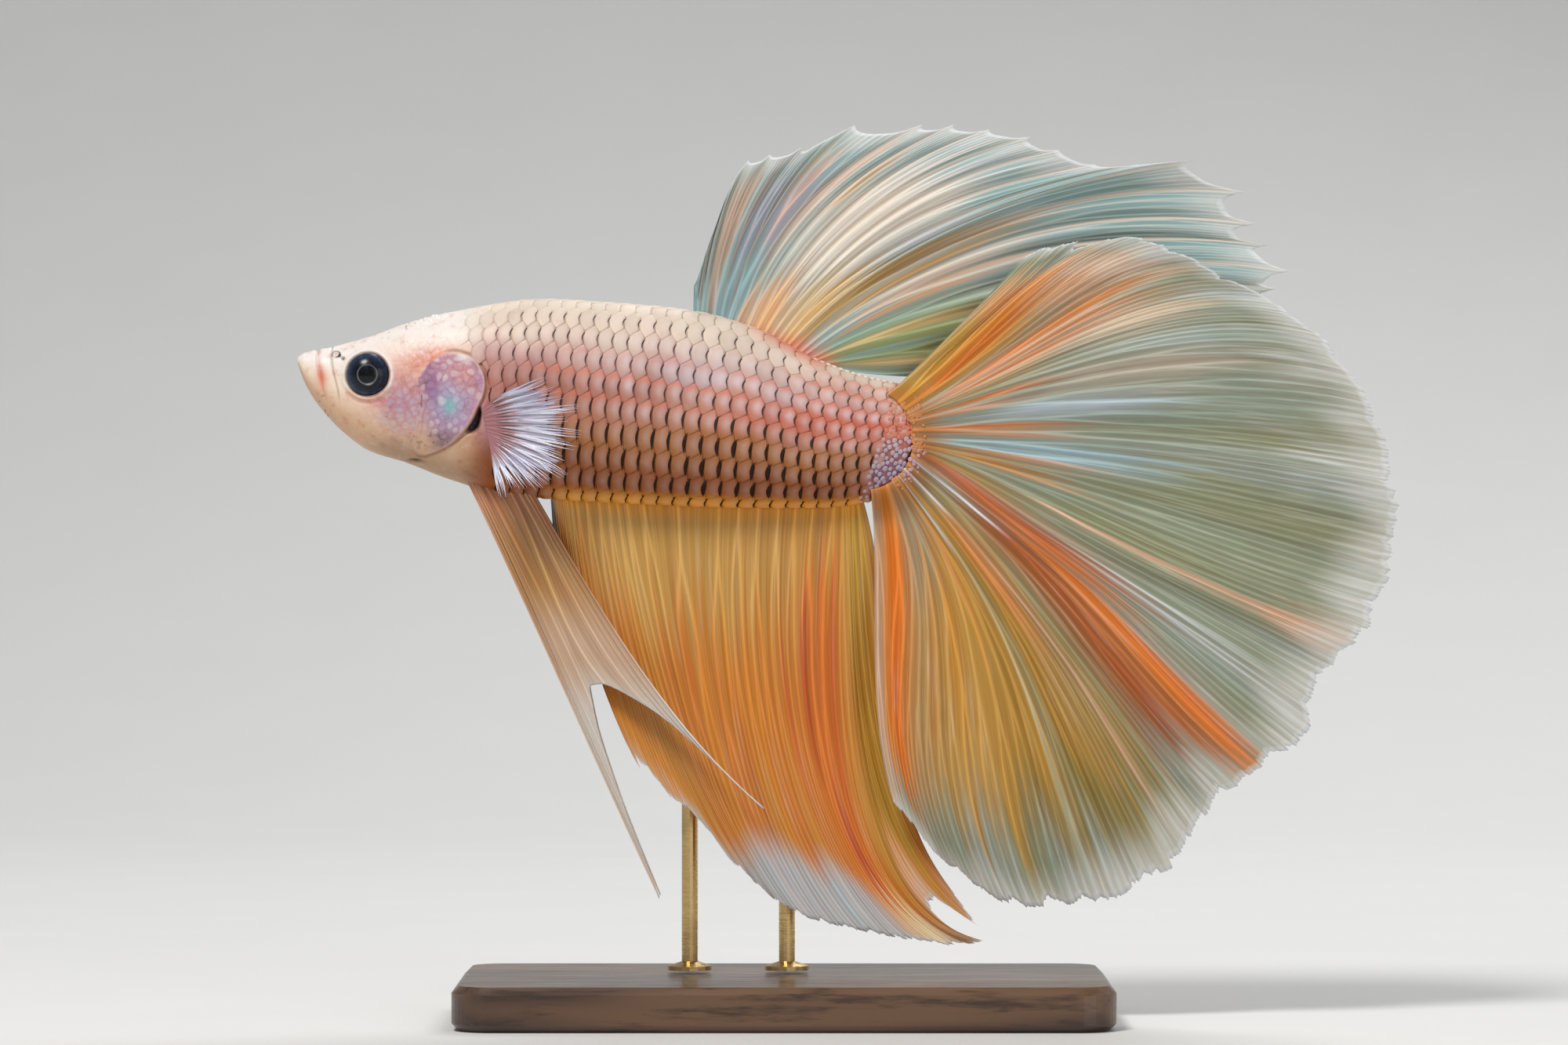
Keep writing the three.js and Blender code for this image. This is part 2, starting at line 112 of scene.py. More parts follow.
def pebbles(x, y, seed=0):
    """Round grains about a unit across: 1 at the middle of each and 0 between, and a number for each."""
    x, y = 0.9 * x + 0.44 * y, 0.9 * y - 0.44 * x
    x, y = x + 0.18 * noise(x, y, seed + 5), y + 0.18 * noise(x, y, seed + 6)
    ix, iy = np.floor(x), np.floor(y)
    near = np.full(np.shape(x), 9.0)
    next_near, own = near.copy(), near.copy()
    for dx in (-1, 0, 1):
        for dy in (-1, 0, 1):
            cx, cy = ix + dx, iy + dy
            px = cx + 0.14 + 0.72 * chance(cx, cy, seed)
            py = cy + 0.14 + 0.72 * chance(cx, cy, seed + 1)
            distance = np.hypot(px - x, py - y)
            closer = distance < near
            next_near = np.where(closer, near, np.minimum(next_near, distance))
            own = np.where(closer, chance(cx, cy, seed + 2), own)
            near = np.where(closer, distance, near)
    return clamp01((next_near - near) * 2.6) * clamp01(1.3 - 1.6 * near), own


def along_ray(root, tip, leave, arrive, t):
    """A curve in the side plane that leaves its root and meets its tip at given angles, in degrees."""
    chord = np.hypot(tip[0] - root[0], tip[1] - root[1])
    leave, arrive = np.radians(leave), np.radians(arrive)
    t2, t3 = t * t, t * t * t
    out = []
    for k, turn in enumerate((np.cos, np.sin)):
        ends = (2 * t3 - 3 * t2 + 1) * root[k] + (3 * t2 - 2 * t3) * tip[k]
        out.append(ends + chord * ((t3 - 2 * t2 + t) * turn(leave) + (t3 - t2) * turn(arrive)))
    return out


# ---------------------------------------------------------------- meshes and materials


def quads(index, closed=False):
    """The faces of a grid of point numbers. A closed grid goes on round from its last column to its first."""
    if closed:
        index = np.column_stack([index, index[:, 0]])
    return np.stack([index[:-1, :-1], index[1:, :-1], index[1:, 1:], index[:-1, 1:]], -1).reshape(-1, 4)


def make_piece(name, points, faces, material, slot, tint, replaces=(), values=None, loop_uv=None):
    """A smooth-shaded mesh piece from points in millimetres, with its colours and other numbers per point."""
    mesh = bpy.data.meshes.new(name)
    mesh.from_pydata((np.asarray(points) * MM).tolist(), [], [list(map(int, f)) for f in faces])
    mesh.polygons.foreach_set("use_smooth", np.ones(len(mesh.polygons), bool))
    layer = mesh.attributes.new("tint", "FLOAT_COLOR", "POINT")
    layer.data.foreach_set("color", np.column_stack([tint, np.ones(len(tint))]).ravel())
    for key, numbers in (values or {}).items():
        layer = mesh.attributes.new(key, "FLOAT", "POINT")
        layer.data.foreach_set("value", np.asarray(numbers, float).ravel())
    if loop_uv is not None:
        layer = mesh.uv_layers.new(name="OFBake")
        layer.data.foreach_set("uv", np.asarray(loop_uv, float).ravel())
    mesh.materials.append(material)
    mesh.update()
    piece = bpy.data.objects.new(name, mesh)
    bpy.context.scene.collection.objects.link(piece)
    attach(piece, "root")
    if replaces:
        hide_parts(*replaces)
    return piece


class Nodes:
    """A short way to write a material's node tree."""

    def __init__(self, name):
        self.material = bpy.data.materials.new(name)
        self.material.use_nodes = True
        self.tree = self.material.node_tree
        self.shader = self.tree.nodes["Principled BSDF"]

    def new(self, kind, inputs=None, **settings):
        node = self.tree.nodes.new(kind)
        for key, value in settings.items():
            setattr(node, key, value)
        for key, value in (inputs or {}).items():
            self.plug(node, key, value)
        return node

    def plug(self, node, key, value):
        if isinstance(value, bpy.types.NodeSocket):
            self.tree.links.new(value, node.inputs[key])
        else:
            node.inputs[key].default_value = value

    def set(self, **sockets):
        for key, value in sockets.items():
            self.plug(self.shader, key.replace("_", " "), value)

    def surface(self, colour, patches, low, high, **sockets):
        """Set a colour, a roughness that goes from low to high with the patches, and any other sockets."""
        self.set(Base_Color=colour, Roughness=self.remap(patches, 0.3, 0.7, low, high), **sockets)

    def value(self, name):
        return self.new("ShaderNodeAttribute", attribute_name=name).outputs["Fac"]

    def tint(self):
        return self.new("ShaderNodeAttribute", attribute_name="tint").outputs["Color"]

    def position(self, stretch=(1.0, 1.0, 1.0)):
        place = self.new("ShaderNodeTexCoord").outputs["Object"]
        return self.new("ShaderNodeMapping", {"Vector": place, "Scale": stretch}).outputs[0]

    def math(self, operation, a, b):
        return self.new("ShaderNodeMath", {0: a, 1: b}, operation=operation).outputs[0]

    def remap(self, value, low, high, to_low=0.0, to_high=1.0):
        inputs = {"Value": value, "From Min": low, "From Max": high, "To Min": to_low, "To Max": to_high}
        return self.new("ShaderNodeMapRange", inputs, interpolation_type="SMOOTHSTEP").outputs["Result"]

    def noise(self, vector, scale, detail=2.0, rough=0.5):
        inputs = {"Vector": vector, "Scale": scale, "Detail": detail, "Roughness": rough}
        return self.new("ShaderNodeTexNoise", inputs).outputs["Fac"]

    def blend(self, a, b, factor, mode="MIX"):
        node = self.new("ShaderNodeMix", data_type="RGBA", blend_type=mode)
        for socket, value in ((0, factor), (6, a), (7, b)):
            self.plug(node, socket, (*value, 1.0) if isinstance(value, tuple) else value)
        return node.outputs[2]

    def bump(self, height, distance, strength=0.5):
        inputs = {"Height": height, "Distance": distance, "Strength": strength}
        return self.new("ShaderNodeBump", inputs).outputs["Normal"]


# ---------------------------------------------------------------- the body's shape, as in the CAD

BODY_STATIONS = [
    (-32.85, 44.8, 44.3, 0.35),
    (-32.4, 45.1, 43.0, 0.9),
    (-31.4, 45.3, 41.4, 1.3),
    (-29.6, 45.75, 39.5, 1.9),
    (-28.0, 46.2, 38.4, 2.35),
    (-25.5, 47.1, 37.6, 2.95),
    (-22.5, 47.9, 36.4, 3.45),
    (-20.0, 48.4, 35.6, 3.65),
    (-16.5, 48.8, 35.15, 3.85),
    (-11.5, 48.55, 34.85, 3.95),
    (-6.0, 48.0, 34.6, 3.75),
    (-1.5, 46.7, 34.5, 3.3),
    (2.1, 44.8, 34.5, 2.8),
    (5.3, 43.65, 34.8, 2.25),
    (8.0, 43.0, 35.7, 1.65),
    (9.6, 42.2, 37.0, 1.1),
    (10.3, 41.0, 38.4, 0.6),
]
SECTION_POWER = 2.15
SNOUT_X, TAIL_X = BODY_STATIONS[0][0], BODY_STATIONS[-1][0]
back_at, belly_at, half_width_at = [
    smooth_through([s[0] for s in BODY_STATIONS], [s[k] for s in BODY_STATIONS]) for k in (1, 2, 3)
]
GRID_X, GRID_T, GIRTH_SAMPLES = 900, 257, 721


def half_sections():
    """y and z of the half section at stations along X, for even shares of the girth from belly to back."""
    angle = np.linspace(-math.pi / 2, math.pi / 2, GIRTH_SAMPLES)
    across = np.abs(np.cos(angle)) ** (2 / SECTION_POWER)
    up = np.sign(np.sin(angle)) * np.abs(np.sin(angle)) ** (2 / SECTION_POWER)
    share = np.linspace(0, 1, GRID_T)
    ys, zs = np.empty((GRID_X, GRID_T)), np.empty((GRID_X, GRID_T))
    for i, x in enumerate(np.linspace(SNOUT_X, TAIL_X, GRID_X)):
        top, low, half = float(back_at(x)), float(belly_at(x)), float(half_width_at(x))
        y, z = half * across, (top + low) / 2 + (top - low) / 2 * up
        run = np.concatenate([[0], np.cumsum(np.hypot(np.diff(y), np.diff(z)))])
        ys[i] = np.interp(share, run / run[-1], y)
        zs[i] = np.interp(share, run / run[-1], z)
    return ys, zs


SECTION_Y, SECTION_Z = half_sections()


def body_at(x, t):
    """y and z on the body for a share of the half girth, which goes on round the far side past 0 and 1."""
    far = (t < 0) | (t > 1)
    t = np.where(t < 0, -t, np.where(t > 1, 2 - t, t))
    i = np.clip((x - SNOUT_X) / (TAIL_X - SNOUT_X) * (GRID_X - 1), 0, GRID_X - 1.001)
    j = np.clip(t * (GRID_T - 1), 0, GRID_T - 1.001)
    i0, j0 = i.astype(int), j.astype(int)
    found = []
    for grid in (SECTION_Y, SECTION_Z):
        low = mix(grid[i0, j0], grid[i0, j0 + 1], j - j0)
        high = mix(grid[i0 + 1, j0], grid[i0 + 1, j0 + 1], j - j0)
        found.append(mix(low, high, i - i0))
    return np.where(far, -found[0], found[0]), found[1]


def body_surface(x, t, side, lift):
    """Points raised off the body along its outward direction. side is 1 on the right and -1 on the left."""
    x, t, lift = np.broadcast_arrays(*(np.asarray(a, float) for a in (x, t, lift)))
    y, z = body_at(x, t)
    before, behind = np.clip(x - 0.15, SNOUT_X, TAIL_X), np.clip(x + 0.15, SNOUT_X, TAIL_X)
    ya, za = body_at(before, t)
    yb, zb = body_at(behind, t)
    yc, zc = body_at(x, t - 0.008)
    yd, zd = body_at(x, t + 0.008)
    along = np.stack([behind - before, yb - ya, zb - za], -1)
    normal = np.cross(np.stack([0 * x, yd - yc, zd - zc], -1), along)
    normal /= np.maximum(np.linalg.norm(normal, axis=-1, keepdims=True), 1e-9)
    point = np.stack([x, y, z], -1) + normal * lift[..., None]
    return point * np.array([1, side, 1])


def bake_place(x, t, side):
    """Where a place on the body lies on the unwrapped skin, with the two sides one above the other."""
    return 0.01 + 0.98 * (x - SNOUT_X) / (TAIL_X - SNOUT_X), (0.01 if side > 0 else 0.51) + 0.47 * clamp01(t)


# ---------------------------------------------------------------- markings shared by skin and scales


def seen(r, g, b):
    """The base colour that shows as this screen colour in the studio's light."""
    return np.maximum((np.array([r, g, b]) / 255) ** 2.2 - np.array([0.035, 0.05, 0.055]), 0.004)


CREAM, WHITE, PINK, SALMON = seen(236, 220, 202), seen(236, 230, 226), seen(206, 152, 144), seen(214, 120, 98)
PEACH, TAN, LILAC, VIOLET = seen(196, 142, 96), seen(152, 96, 52), seen(180, 150, 178), seen(150, 108, 138)
PALE_BLUE, AQUA, OLIVE = seen(160, 176, 206), seen(130, 184, 184), seen(130, 112, 90)
RED, AMBER, DARK = seen(180, 80, 60), seen(196, 126, 58), np.array([0.012, 0.009, 0.009])

GILL_X, GILL_Z = -22.5, 41.45
# Distance from the gill's middle to the rim of its cover, by direction in degrees.
GILL_RIM = smooth_through(
    [-180, -140, -123, -107, -90, -60, -30, -6, 20, 32, 46, 66, 82, 110, 150, 180],
    [2.7, 3.6, 3.95, 3.3, 2.68, 2.05, 1.88, 1.98, 2.6, 2.95, 3.3, 3.65, 3.68, 3.3, 2.7, 2.7],
)
EYE_X, EYE_Z, EYE_R = -28.0, 43.55, 1.47


def paint(colour, new, amount):
    return mix(colour, new, clamp01(amount)[..., None])


def layers(colour, *coats):
    """Paint coats over a colour one after another. Each: its colour and its amount."""
    for new, amount in coats:
        colour = paint(colour, new, amount)
    return colour


def flat(colour, like):
    return np.broadcast_to(colour, (*like.shape, 3)).copy()


def spot(x, z, cx, cz, rx, rz=None, turn=0.0):
    """A soft round spot, 1 at its middle, with half radii rx and rz, turned by an angle in degrees."""
    c, s = math.cos(math.radians(turn)), math.sin(math.radians(turn))
    a, b = (x - cx) * c + (z - cz) * s, -(x - cx) * s + (z - cz) * c
    return np.exp(-((a / rx) ** 2) - (b / (rz or rx)) ** 2)


def gill_edge(x, z):
    """Distance outside the rim of the gill cover, negative inside, and how free the rim is there."""
    direction = np.degrees(np.arctan2(z - GILL_Z, x - GILL_X))
    free = rise(-135, -115, direction) * fall(84, 100, direction)
    return np.hypot(x - GILL_X, z - GILL_Z) - GILL_RIM(direction), free, direction


def gill_gap(x, z):
    """How deep a point lies in the dark opening behind the gill cover, 0 to 1."""
    edge, free, direction = gill_edge(x, z)
    wide = 0.07 + 0.25 * bump(direction, -42, 24) + 0.05 * bump(direction, 30, 60)
    return rise(-0.05, 0.05, edge) * fall(wide, wide + 0.12, edge) * free


def gill_hole(x, z):
    """Where the gill opens under the pectoral fin, 0 to 1: the skin sinks there, and is painted black as
    shade.
    """
    edge, _, _ = gill_edge(x, z)
    low = spot(x, z, -20.95, 40.15, 0.48, 0.6, -35) + 0.8 * spot(x, z, -20.55, 40.9, 0.26, 0.5, -10)
    return clamp01(2.6 * low - 0.5) * rise(-0.02, 0.05, edge)


NOSTRIL_PIT = -29.72, 44.68


def cleft_distance(x, z):
    """Distance behind the line of the closed mouth."""
    return x - np.interp(z, [39.0, 42.4, 44.2, 46.0], [-30.2, -31.1, -31.45, -31.6])


def lip_distance(x, z):
    """Distance behind the groove that ends the lips."""
    return x - (-30.55 + 0.54 * rise(45, 41.6, z))


def tube_distance(x, z):
    """Distance from the middle of the nostril's tube."""
    return np.hypot((x + 30.2) / 1.3, z - 44.95)


def chin_slit(x, z):
    return spot(x, z, -24.9, 37.75, 0.5, 0.1, -4)


def face_colour(x, z, h):
    face = layers(
        flat(CREAM, x),
        (PEACH, 0.6 * fall(0.15, 0.55, h)),
        (OLIVE, 0.45 * fall(0.0, 0.2, h) * rise(-29, -26, x)),
        (WHITE, 0.9 * rise(0.66, 0.95, h + 0.14 * rise(-27, -31, x))),
        (PINK, 0.9 * spot(x, z, -25.6, 42.6, 2.5, 1.8, -25)),
        (SALMON, 0.6 * spot(x, z, -27.4, 41.75, 1.6, 0.4, -12)),
        (SALMON, 0.75 * spot(x, z, -23.6, 44.6, 2.2, 0.9, 12)),
    )
    mottle = noise(x * 0.9, z * 0.9, 23)
    face = paint(face, mix(LILAC, VIOLET, 0.4), (0.75 + 0.2 * mottle) * spot(x, z, -25.5, 41.4, 1.5, 1.5))
    cell, own = pebbles(x / 0.56, z / 0.56, 7)
    cheek = clamp01(1.3 * spot(x, z, -25.4, 41.6, 1.8, 2.0, -25) + 0.5 * spot(x, z, -23.8, 45.0, 1.6, 1.1))
    face = paint(face, mix(VIOLET, PINK, own[..., None]), 0.3 * cheek * fall(0.02, 0.4, cell))
    return paint(face, mix(WHITE, PALE_BLUE, own[..., None]), 0.55 * cheek * rise(0.3, 0.9, cell) * own)


def gill_colour(x, z):
    edge, free, _ = gill_edge(x, z)
    hue = 0.5 + 0.5 * noise(x * 1.3, z * 1.3, 24)
    cover = mix(flat(LILAC, x), flat(PINK, x), hue[..., None] * 0.7)
    cover = layers(
        cover,
        (VIOLET, 0.95 * spot(x, z, -23.7, 42.6, 0.8, 2.2, 12)),
        # A pale blue patch in the middle of the cover: partly its own blue, partly a painted highlight.
        (PALE_BLUE, 0.9 * spot(x, z, -22.3, 41.7, 1.3, 1.9, -20) * (0.6 + 0.4 * hue)),
        (PINK, 0.85 * spot(x, z, -21.4, 43.4, 0.9, 1.0)),
    )
    cell, own = pebbles(x / 0.6 + 3, z / 0.6, 17)
    return layers(
        cover,
        (mix(PALE_BLUE, WHITE, own[..., None]), 0.42 * rise(0.25, 0.9, cell) * own),
        (VIOLET, 0.6 * bump(cell, 0.22, 0.16) * (1 - 0.7 * own)),
        (AQUA, 0.95 * spot(x, z, -22.45, 41.45, 0.42, 0.5)),
        (OLIVE, 0.75 * rise(40.2, 39.0, z) * (0.6 + 0.4 * own)),
        (WHITE, 0.85 * spot(x, z, -21.5, 44.75, 0.55, 0.35, -20)),
        (mix(PINK, WHITE, 0.5), 0.7 * rise(-0.3, -0.08, edge) * free),
    )


def tail_limit(z):
    """Where the scales end and the tail fin's flesh begins."""
    return 8.6 - 0.38 * np.maximum(0, 40.5 - z) - 0.3 * np.maximum(0, z - 42)


def tail_sink(beyond):
    """How far skin and beads sink into the tail fin's flesh, by the distance beyond the scales."""
    return 0.9 * rise(0.5, 1.7, beyond)


def markings(x, z):
    """The colour of skin and scales from the place on the side of the body."""
    height = clamp01((z - belly_at(x)) / (back_at(x) - belly_at(x)))
    h = height + 0.04 * noise(x * 0.35, z * 0.5, 3) + 0.02 * noise(x * 1.1, z * 1.3, 4)
    colour = layers(
        flat(TAN, x),
        (mix(TAN, PEACH, 0.45), rise(0.1, 0.36, h)),
        (mix(PEACH, PINK, 0.7), rise(0.34, 0.5, h)),
        (mix(PINK, WHITE, 0.3), rise(0.52, 0.68, h)),
        (mix(CREAM, PINK, 0.2), rise(0.7, 0.86, h)),
        (CREAM, 0.8 * rise(0.86, 0.96, h)),
    )
    # Painted highlight: patches of pale lilac-white along the middle rows of the flank.
    pale_amount = rise(-0.1, 0.5, noise(x * 0.4, z * 0.6, 11)) * bump(h, 0.64, 0.15) * rise(-16, -11, x)
    colour = paint(colour, mix(WHITE, LILAC, 0.5), 0.55 * pale_amount)
    violet = bump(h, 0.55, 0.16) * fall(-17.5, -13.5, x)
    colour = paint(colour, mix(VIOLET, PINK, 0.5), 0.6 * violet)
    colour = paint(colour, seen(182, 124, 112), 0.75 * bump(h, 0.55, 0.15) * fall(-10, -4, x))
    streak = bump(z, 40.8 - 0.08 * (x + 4), 1.3) * rise(-8, 2.5, x)
    colour = paint(colour, mix(SALMON, RED, 0.15), 0.95 * streak)
    colour = paint(colour, mix(PINK, SALMON, 0.2), 0.8 * spot(x, z, 4.2, 42.5, 3.2, 0.9, -12))
    tail = rise(-1.8, 0.2, x - tail_limit(z)) * rise(40.6, 41.8, z)
    colour = layers(
        colour,
        (AMBER, 0.95 * tail),
        (mix(LILAC, VIOLET, 0.5), 0.8 * spot(x, z, 7.3, 36.9, 1.5, 1.3, 35)),
        (face_colour(x, z, h), fall(-22.6, -19.6, x)),
    )
    edge, _, _ = gill_edge(x, z)
    inside = fall(-0.2, 0.0, edge) * rise(-25.2, -23.4, x + 0.25 * (z - 41.5))
    colour = paint(colour, gill_colour(x, z), inside)
    colour = paint(colour, mix(PINK, LILAC, 0.4), 0.9 * spot(x, z, -19.9, 40.0, 0.9, 1.4, 15))
    # A golden band along the belly: its own colour, painted brighter as light against the shade under the
    # body.
    strip = rise(0.09, 0.0, height) * rise(-17, -14.5, x) * fall(4.8, 6.4, x)
    colour = paint(colour, seen(250, 176, 84), 0.95 * strip)
    flank = rise(0.08, 0.2, height) * rise(-22, -18, x)
    colour = colour * (1 - 0.1 * flank)[..., None]
    root = rise(0.9, 0.99, height) * rise(-3.5, 0.0, x) * fall(2.4, 3.4, x)
    return paint(colour, SALMON, 0.75 * root)


# ---------------------------------------------------------------- skin

SCALE_DEPTH = 0.12


def skin_lift(x, z):
    """How far the skin stands off the CAD body: in by the scales' depth, with the head's folds."""
    lift = -mix(0.03, SCALE_DEPTH, rise(-24.5, -20.5, x)) - tail_sink(x - tail_limit(z))
    edge, free, _ = gill_edge(x, z)
    cover = rise(-2.6, -0.2, edge + 1.6) * free
    lift = lift + 0.1 * fall(-0.14, 0.02, edge) * cover + 0.05 * bump(edge, -0.2, 0.14) * free
    lift -= 0.12 * gill_gap(x, z) + 0.4 * gill_hole(x, z)
    # fleshy base of the pectoral fin
    lift += 0.22 * spot(x, z, -19.9, 40.0, 0.7, 1.3, 12)
    # rim of the preopercle, in front of the gill cover
    line = x - (-24.05 + 0.13 * (z - 42.0)) - 0.05 * noise(z * 1.5, 0 * z, 9)
    cheek = rise(38.9, 40.2, z) * fall(44.2, 45.0, z)
    lift += 0.07 * cheek * rise(-0.9, -0.06, line) * fall(-0.05, 0.05, line)
    # small scales of the cheek and gill cover
    cell, _ = pebbles(x / 0.52, z / 0.52, 7)
    scaly = clamp01(1.3 * spot(x, z, -25.6, 41.8, 2.1, 2.4, -25) + spot(x, z, -23.8, 45.2, 2.2, 1.3))
    cell_2, _ = pebbles(x / 0.54 + 3, z / 0.54, 17)
    inside = fall(-0.4, -0.2, edge) * rise(-24.2, -23.6, x)
    lift += 0.022 * mix(rise(0.02, 0.6, cell) * scaly, rise(0.02, 0.6, cell_2), inside)
    # eye socket and its lid
    r = np.hypot(x - EYE_X, z - EYE_Z)
    lift += 0.12 * bump(r, EYE_R + 0.17, 0.15) - 0.75 * fall(EYE_R - 0.28, EYE_R + 0.02, r)
    lift -= 0.035 * bump(r, EYE_R + 0.5, 0.09) * (z < EYE_Z)
    # the closed mouth, its lips and the groove behind them
    cleft, gape = cleft_distance(x, z), rise(41.6, 42.4, z)
    lips = 0.05 * bump(cleft, -0.22, 0.2) + 0.05 * bump(cleft, 0.3, 0.22)
    lift += gape * (lips - 0.14 * bump(cleft, 0, 0.08))
    lift -= 0.09 * bump(lip_distance(x, z), 0.0, 0.09) * rise(41.2, 42.2, z)
    lift -= 0.2 * chin_slit(x, z)
    # nose: a short tube and a pit
    tube = tube_distance(x, z)
    lift += 0.08 * bump(tube, 0.16, 0.07) - 0.14 * bump(tube, 0.0, 0.09)
    lift -= 0.14 * spot(x, z, *NOSTRIL_PIT, 0.1)
    # grains along the nape
    grain, _ = pebbles(x / 0.3, z / 0.3, 27)
    lift += 0.09 * spot(x, z, -23.9, 47.6, 0.9, 0.7) * rise(0.35, 0.9, grain)
    return lift + 0.008 * noise(x * 3.1, z * 3.1, 19)


def skin_details(tint, x, z):
    """The skin's own small marks, which no scale carries."""
    # Painted shade: the gap behind the gill cover's rim is coloured a darker olive pink.
    tint = paint(tint, mix(OLIVE, PINK, 0.4), 0.6 * gill_gap(x, z))
    # Painted shade: the gill's opening is painted black.
    tint = paint(tint, DARK, gill_hole(x, z))
    cleft, gape = cleft_distance(x, z), rise(41.6, 42.6, z)
    patchy = 0.25 + 0.75 * rise(-0.3, 0.5, noise(z * 1.3, 0 * z, 5))
    tint = layers(
        tint,
        (RED, 0.45 * bump(cleft, 0.12, 0.2) * gape * patchy),
        (SALMON, 0.75 * spot(x, z, -31.15, 43.4, 0.35, 0.75, 10)),
        (OLIVE, 0.5 * bump(lip_distance(x, z), 0.02, 0.06) * gape),
        # Painted shade: the slit under the chin is painted dark.
        (DARK, 0.85 * chin_slit(x, z)),
    )
    # Painted shade: the nostril's pit, the tube's opening and a ring round the tube's foot are painted dark.
    curl = bump(tube_distance(x, z), 0.2, 0.05) * (1 - spot(x, z, -30.35, 44.75, 0.14))
    nostril = 0.9 * curl + 0.9 * spot(x, z, *NOSTRIL_PIT, 0.13) + 0.8 * spot(x, z, -29.95, 44.85, 0.1)
    tint = paint(tint, DARK, nostril)
    r = np.hypot(x - EYE_X, z - EYE_Z)
    tint = layers(
        tint,
        (WHITE, 0.8 * bump(r, EYE_R + 0.2, 0.12)),
        (AMBER, 0.6 * bump(r, EYE_R + 0.22, 0.12) * rise(EYE_Z - 0.6, EYE_Z - 1.3, z)),
        (DARK, 0.6 * bump(r, EYE_R + 0.02, 0.06)),
    )
    freckle = rise(0.45, 0.7, noise(x * 5.1, z * 5.1, 31))
    where = spot(x, z, -31.1, 41.3, 0.5, 0.8) + 0.9 * spot(x, z, -26.5, 46.6, 2.0, 0.35, 20)
    where += 0.6 * spot(x, z, -24.3, 42.3, 0.5, 2.0) + 0.6 * spot(x, z, -23.6, 39.2, 1.6, 0.7)
    return paint(tint, DARK, 0.8 * freckle * clamp01(where))


# Stations along the skin are close together on the head and gill covers, which no scale hides.
BARE_END_X, BARE_STATIONS, SCALED_STATIONS, HALF_RING = -19.0, 330, 120, 220


def build_skin(material):
    bare = np.linspace(SNOUT_X, BARE_END_X, BARE_STATIONS)
    xs = np.concatenate([bare, np.linspace(BARE_END_X, TAIL_X, SCALED_STATIONS)[1:]])
    half, ring = HALF_RING, 2 * HALF_RING
    k = np.arange(ring)
    x, t = np.meshgrid(xs, k / half, indexing="ij")
    _, z = body_at(x, t)
    lift = skin_lift(x, z) * rise(SNOUT_X - 0.02, SNOUT_X + 0.5, x)
    points = body_surface(x, t, 1.0, lift).reshape(-1, 3)
    tint = skin_details(markings(x, z), x, z).reshape(-1, 3)
    i, j = np.meshgrid(np.arange(len(xs) - 1), k, indexing="ij")
    ends = [[x_end, 0, (back_at(x_end) + belly_at(x_end)) / 2] for x_end in (SNOUT_X, TAIL_X)]
    n = len(points)
    last = n - ring
    caps = [(n, int(a), int((a + 1) % ring)) for a in k]
    caps += [(n + 1, int(last + (a + 1) % ring), int(last + a)) for a in k]
    uv = []
    for di, dj in ((0, 0), (1, 0), (1, 1), (0, 1)):
        share = np.where(j < half, j + dj, ring - j - dj) / half
        u, v = bake_place(xs[i + di], share, 1)
        uv.append(np.stack([u, v + 0.5 * (j >= half)], -1))
    uv = np.stack(uv, 2).reshape(-1, 2)
    cap_uv = np.tile([[0.005, 0.5], [0.006, 0.5], [0.006, 0.501]], (2 * ring, 1))
    nodes = ["head", "lower_jaw", "trunk", "tail_base", "gill_cover_left", "gill_cover_right"]
    faces = [*quads(np.arange(n).reshape(-1, ring), closed=True).tolist(), *caps]
    points, tint = np.vstack([points, ends]), np.vstack([tint, tint[:1], tint[-1:]])
    return make_piece("skin", points, faces, material, "skin", tint, nodes, loop_uv=np.vstack([uv, cap_uv]))


def skin_material(name="skin", gloss=0.42, fleck=0.15, stain=0.6):
    n = Nodes(name)
    place = n.position()
    mottle = n.noise(place, 1300, 3, 0.6)
    pores = n.new("ShaderNodeTexVoronoi", {"Vector": place, "Scale": 3200.0}).outputs["Distance"]
    colour = n.blend(n.tint(), (0.92, 0.86, 0.8), n.remap(mottle, 0.55, 0.78, 0, fleck))
    colour = n.blend(colour, (0.8, 0.6, 0.55), n.remap(mottle, 0.47, 0.28, 0, stain), "MULTIPLY")
    n.surface(colour, mottle, gloss - 0.06, gloss + 0.08, Specular_IOR_Level=0.26)
    n.set(Normal=n.bump(n.math("MULTIPLY", pores, -1.0), 0.00003), Subsurface_Weight=0.12)
    n.set(Subsurface_Scale=0.0007, Subsurface_Radius=(1.0, 0.45, 0.3), Coat_Weight=0.08, Coat_Roughness=0.3)
    return n.material


# ---------------------------------------------------------------- scales

# Marks stand in near-upright chains, one behind each scale row. A place in the pattern is a row, counted up
# from the belly, and a column. Each row is set back a little from the row above it.
ROWS = 11
FIRST_ROW_T, ROW_T = 0.07, 0.093
ROW_SET_BACK = np.array([0.08, 0.08, 0.08, 0.08, 0.12, 0.2, 0.22, 0.26, 0.28, 0.28, 0.28, 0.28])
PITCH = smooth_through([-27, -18, -12, -4, 3, 11], [0.94, 0.96, 1.0, 1.11, 1.0, 0.8])
COLUMN_X = np.linspace(-27, 11, 761)
# About how far apart the rows are, in millimetres, and how the rows bend ahead of a place on the body.
ROW_HEIGHT, ROW_BEND, BEND_X = 1.55, 0.0045, -5.3
# A scale's half height in rows, the thickness of every plate, and half the width of its patch in OFBake.
SCALE_REACH, PLATE, HALF_PATCH = 0.665, 0.05, 0.0014
COLUMN = np.concatenate([[0], np.cumsum(np.diff(COLUMN_X) / PITCH(COLUMN_X[1:]))])


def pattern_place(row, column, a, b):
    """x and share of the girth at a columns behind and b rows below a mark."""
    shift = ROW_SET_BACK[row:ROWS].sum()
    x = np.interp(column + shift + a, COLUMN, COLUMN_X)
    t = FIRST_ROW_T + ROW_T * (row - b)
    return x, t + ROW_BEND * np.maximum(0, BEND_X - x) * np.sin(math.pi * clamp01(t))


